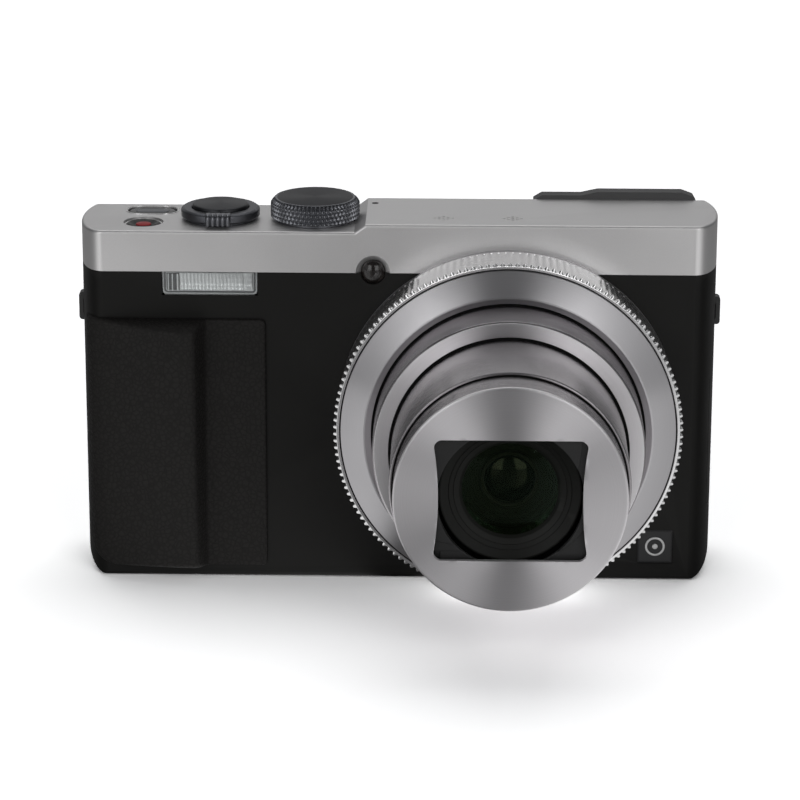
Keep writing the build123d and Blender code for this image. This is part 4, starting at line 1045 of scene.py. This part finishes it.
# ------------------------------------------------------------------ lamp
lathe("lamp_dome_smoked",
      cap_section(2.1, height=0.95, base=0.70, steps=16, toward=-1, reach=2.08)
      + [(2.1, 3.0), (1.0, 3.0), (0, 3.0)],
      SMOKE, BODY, centre=LAMP, segments=72, replaces="af_lamp")
lathe("lamp_reflector", [(0, 3.05), (1.9, 3.05), (1.9, 3.3), (0, 3.3)],
      INNER, BODY, centre=LAMP, segments=48)

# ------------------------------------------------------------------ badge with a ring emblem
band("badge_border", box_outline(BADGE_CENTRE, 5.9, 5.9, 0.2),
     box_outline(BADGE_CENTRE, 5.5, 5.5, 0.15), 0.16, 0.12, BADGE, BODY, "Y")
lathe("badge_ring",
      rounded([(1.35, 0.16), (1.75, 0.16), (1.75, 0.04, 0.05), (1.35, 0.04, 0.05)], steps=3),
      EMBLEM, BODY, centre=BADGE_CENTRE, segments=64)
lathe("badge_dot", rounded([(0, 0.16), (0.5, 0.16), (0.5, 0.04, 0.05), (0, 0.04)], steps=3),
      EMBLEM, BODY, centre=BADGE_CENTRE, segments=32)

# ------------------------------------------------------------------ rear screen and icons
prism("screen_active_area", box_outline((16.5, 30.0), 60.5, 45.0, 0.4), 21.375, 21.395,
      GLOSS, BODY, axis="Y", edge=0.008, steps=1)


def icon(name, outline, y, body):
    prism(name, outline, y, y + 0.03, PRINT, body, axis="Y", edge=0.005,
          steps=1)


for name, outline, body in (
        ("play_icon", [(-27.6, 46.8), (-26.3, 47.5), (-27.6, 48.2)], "playback_button"),
        ("wifi_icon_dot", disc_outline((-27.0, 36.0), 0.28, 20), "wifi_button"),
        ("disp_icon", box_outline((-27.0, 7.5), 2.0, 1.3, 0.2), "display_button"),
        ("delete_icon", box_outline((-49.5, 7.4), 1.1, 1.4, 0.15), "delete_button"),
        ("delete_icon_lid", box_outline((-49.5, 8.35), 1.5, 0.25, 0.08), "delete_button")):
    icon(name, outline, 21.89, body)

PAD_MARK_REACH = 6.8            # distance of the triangles from the dial's axis
PAD_MARK_SIZE = 0.55
for i in range(4):
    angle = i * pi / 2
    x = REAR_DIAL[0] + PAD_MARK_REACH * cos(angle)
    z = REAR_DIAL[1] + PAD_MARK_REACH * sin(angle)
    turns = [angle + t * 2 * pi / 3 for t in range(3)]
    icon(f"pad_mark_{i}",
         [(x + PAD_MARK_SIZE * cos(a), z + PAD_MARK_SIZE * sin(a)) for a in turns],
         22.09, "control_dial")

# ------------------------------------------------------------------ rear dials and buttons
DIAL_RADIUS, DIAL_BORE = 9.12, 4.47
DIAL_FRONT, DIAL_REAR = 20.65, 22.1     # y
DIAL_FLUTES = 72
lathe("control_dial_knurled",
      [(DIAL_BORE, DIAL_FRONT), (DIAL_RADIUS - 0.1, DIAL_FRONT)]
      + [(DIAL_RADIUS, DIAL_FRONT + 0.12 + (DIAL_REAR - DIAL_FRONT - 0.3) * i / 3)
         for i in range(4)]
      + [(DIAL_RADIUS - 0.12, DIAL_REAR - 0.06), (DIAL_RADIUS - 0.3, DIAL_REAR),
         (DIAL_RADIUS - 1.1, DIAL_REAR), (DIAL_RADIUS - 1.3, DIAL_REAR - 0.12),
         (DIAL_BORE + 0.25, DIAL_REAR - 0.12), (DIAL_BORE, DIAL_REAR - 0.2)],
      PLASTIC, "control_dial", centre=REAR_DIAL, segments=DIAL_FLUTES * 8,
      replaces="control_dial", sharp=28.0,
      wave=fluted(DIAL_RADIUS, limit=DIAL_RADIUS - 0.02, count=DIAL_FLUTES, depth=0.14))
lathe("menu_set_dished",
      rounded([(0, 18.6), (2.93, 18.6), (2.93, 21.25), (4.4, 21.25), (4.4, 22.2, 0.3),
               (3.4, 22.2, 0.3), (2.8, 22.05, 0.4), (0, 22.0)]),
      GLOSS, "menu_set_button", centre=REAR_DIAL, segments=96,
      replaces="menu_set_button")

CAP_RADIUS = 2.53
FLANGE_RADIUS = 3.1
for name, centre in (("playback", (-27.0, 47.5)), ("wifi", (-27.0, 36.5)),
                     ("display", (-27.0, 7.5)), ("delete", (-49.5, 7.5))):
    lathe(f"{name}_button_cap",
          rounded([(0, 18.4), (FLANGE_RADIUS, 18.4), (FLANGE_RADIUS, 19.0), (CAP_RADIUS, 19.0),
                   (CAP_RADIUS, 21.86, 0.4), (0, 21.9)], steps=6),
          PLASTIC, f"{name}_button", centre=centre, segments=72,
          replaces=f"{name}_button")
lathe("evf_button_cap",
      rounded([(0, 19.4), (1.83, 19.4), (1.83, 21.76, 0.3), (0, 21.8)], steps=6),
      PLASTIC, "evf_button", centre=(20.0, 58.6), segments=64,
      replaces="evf_button")

DIOPTER_RADIUS = 2.7
DIOPTER_FLUTES = 30
lathe("diopter_knurled",
      [(0, 20.2), (0.78, 20.2), (0.78, 22.06), (2.5, 22.06), (2.68, 22.16),
       (DIOPTER_RADIUS, 22.3), (DIOPTER_RADIUS, 22.8), (2.62, 22.93), (2.45, 23.0),
       (1.9, 23.0), (1.7, 22.9), (0, 22.9)],
      PLASTIC, "diopter_dial", centre=(28.3, 60.6),
      segments=DIOPTER_FLUTES * 8, replaces="diopter_dial", sharp=28.0,
      wave=fluted(DIOPTER_RADIUS, limit=2.6, count=DIOPTER_FLUTES, depth=0.16))

# ------------------------------------------------------------------ thumb rest pips
PIP_CENTRE = (-41.5, 47.0)      # x, z of the middle of the unshifted rows
PIP_PITCH = (1.75, 2.0)
PIP_SHIFT = 0.87                # sideways shift of every second row
PIP_LIMIT = -33.6               # greatest x of a pip
for row in range(5):
    for column in range(9):
        x = PIP_CENTRE[0] + (column - 4) * PIP_PITCH[0] + (PIP_SHIFT if row % 2 else 0)
        z = PIP_CENTRE[1] + (row - 2) * PIP_PITCH[1]
        if x > PIP_LIMIT:
            continue
        lathe(f"thumb_pip_{row}_{column}",
              rounded([(0, 22.05), (0.5, 22.05), (0.42, 22.28, 0.12), (0, 22.3)], steps=3),
              GRIP, BODY, centre=(x, z), segments=20)

# ------------------------------------------------------------------ floor
FLOOR_SIZE = 9.0
FLOOR_SEEN = 2.7                # tone shown to the camera
FLOOR_LIT = 0.27                # tone that lights the object
# glow by direction from the object: 0 straight ahead, 1 straight behind; then strength
FLOOR_GLOW = ((0.0, 0.02), (0.08, 0.07), (0.17, 0.74), (0.33, 0.68), (0.45, 0.06), (1.0, 0.10))


def floor_material():
    """White to the camera; as a light source, bright at the two front quarters."""
    shader = Shader("stage_floor")
    seen = shader.node("LightPath").outputs["Is Camera Ray"]
    paper = shader.noise(3.0)
    tone = shader.add(shader.times(seen, FLOOR_SEEN - FLOOR_LIT),
                      shader.remap(paper, FLOOR_LIT - 0.005, FLOOR_LIT + 0.005))
    x, y, _ = shader.node("SeparateXYZ", {0: shader.coords}).outputs
    turn = shader.math("ARCTAN2", shader.math("ABSOLUTE", x), shader.times(y, -1.0))
    ramp = shader.node("ValToRGB", {0: shader.math("DIVIDE", turn, pi)})
    stops = ramp.color_ramp.elements
    for k, (position, strength) in enumerate(FLOOR_GLOW):
        # a new ramp already holds two stops
        stop = stops[k] if k < 2 else stops.new(position)
        stop.position = position
        stop.color = (strength, strength, strength, 1)
    unseen = shader.math("SUBTRACT", 1.0, seen)
    return shader.principled({
        "Base Color": shader.node("CombineXYZ", {0: tone, 1: tone, 2: tone}).outputs[0],
        "Roughness": 0.8,
        "Specular IOR Level": 0.1,
        "Emission Color": (1, 1, 1),
        "Emission Strength": shader.times(ramp.outputs[0], unseen)})


def floor():
    mesh = bpy.data.meshes.new("floor")
    s = FLOOR_SIZE / 2
    mesh.from_pydata([(-s, -s, 0), (s, -s, 0), (s, s, 0), (-s, s, 0)], [], [(0, 1, 2, 3)])
    mesh.materials.append(floor_material())
    obj = bpy.data.objects.new("floor", mesh)
    obj.location = (0, 0, -0.0001)
    bpy.context.scene.collection.objects.link(obj)


floor()

# ------------------------------------------------------------------ lights
LIGHT_TARGET = Vector((0.0, -0.02, 0.035))
# name, azimuth from the front (+ toward +X) and elevation in degrees, distance,
# width, height, radiance
SOFTBOXES = (
    ("soft_left", -27, 20, 1.15, 0.52, 0.74, 1.9),
    ("soft_right", 27, 20, 1.15, 0.52, 0.74, 1.9),
    ("fill_left", -58, 20, 1.15, 0.55, 0.74, 0.4),
    ("fill_right", 58, 20, 1.15, 0.55, 0.74, 0.4),
    ("soft_top", 180, 68, 1.15, 1.3, 0.8, 1.1),
    ("soft_back", 180, 24, 1.8, 2.6, 1.2, 0.36),
)
for name, azimuth, elevation, distance, width, height, radiance in SOFTBOXES:
    light = bpy.data.lights.new(name, "AREA")
    light.shape = "RECTANGLE"
    light.size, light.size_y = width, height
    light.energy = radiance * pi * width * height
    softbox = bpy.data.objects.new(name, light)
    a, e = radians(azimuth), radians(elevation)
    softbox.location = LIGHT_TARGET + distance * Vector(
        (sin(a) * cos(e), -cos(a) * cos(e), sin(e)))
    aim = LIGHT_TARGET - softbox.location
    softbox.rotation_euler = aim.to_track_quat("-Z", "Y").to_euler()
    bpy.context.scene.collection.objects.link(softbox)

world = bpy.data.worlds.new("studio_world")
world.use_nodes = True
bpy.context.scene.world = world
background = world.node_tree.nodes["Background"]
background.inputs["Color"].default_value = (0.95, 0.97, 1.0, 1)
background.inputs["Strength"].default_value = 0.085

# ------------------------------------------------------------------ camera
CAMERA_PLACE = (10.658, -564.369, 212.264)      # mm, like the shapes
PITCH, YAW, ROLL = 0.3, -0.0245, 0.0009         # radians: down, toward +X, about the view


def view_camera():
    data = bpy.data.cameras.new("view_camera")
    camera = bpy.data.objects.new("view_camera", data)
    bpy.context.scene.collection.objects.link(camera)
    bpy.context.scene.camera = camera
    forward = Vector((sin(YAW) * cos(PITCH), cos(YAW) * cos(PITCH), -sin(PITCH)))
    level = Vector((cos(YAW), -sin(YAW), 0))
    upright = level.cross(forward)
    right = cos(ROLL) * level + sin(ROLL) * upright
    up = -sin(ROLL) * level + cos(ROLL) * upright
    matrix = Matrix((right, up, -forward)).transposed().to_4x4()
    matrix.translation = Vector(point(*CAMERA_PLACE))
    camera.matrix_world = matrix
    data.sensor_width = 36.0
    data.lens = 153.176355
    data.shift_x = 0.025684
    data.shift_y = -0.032368625
    data.clip_start = 0.01
    data.clip_end = 20.0


view_camera()
bpy.context.scene.view_settings.view_transform = "Standard"
bpy.context.scene.view_settings.look = "None"
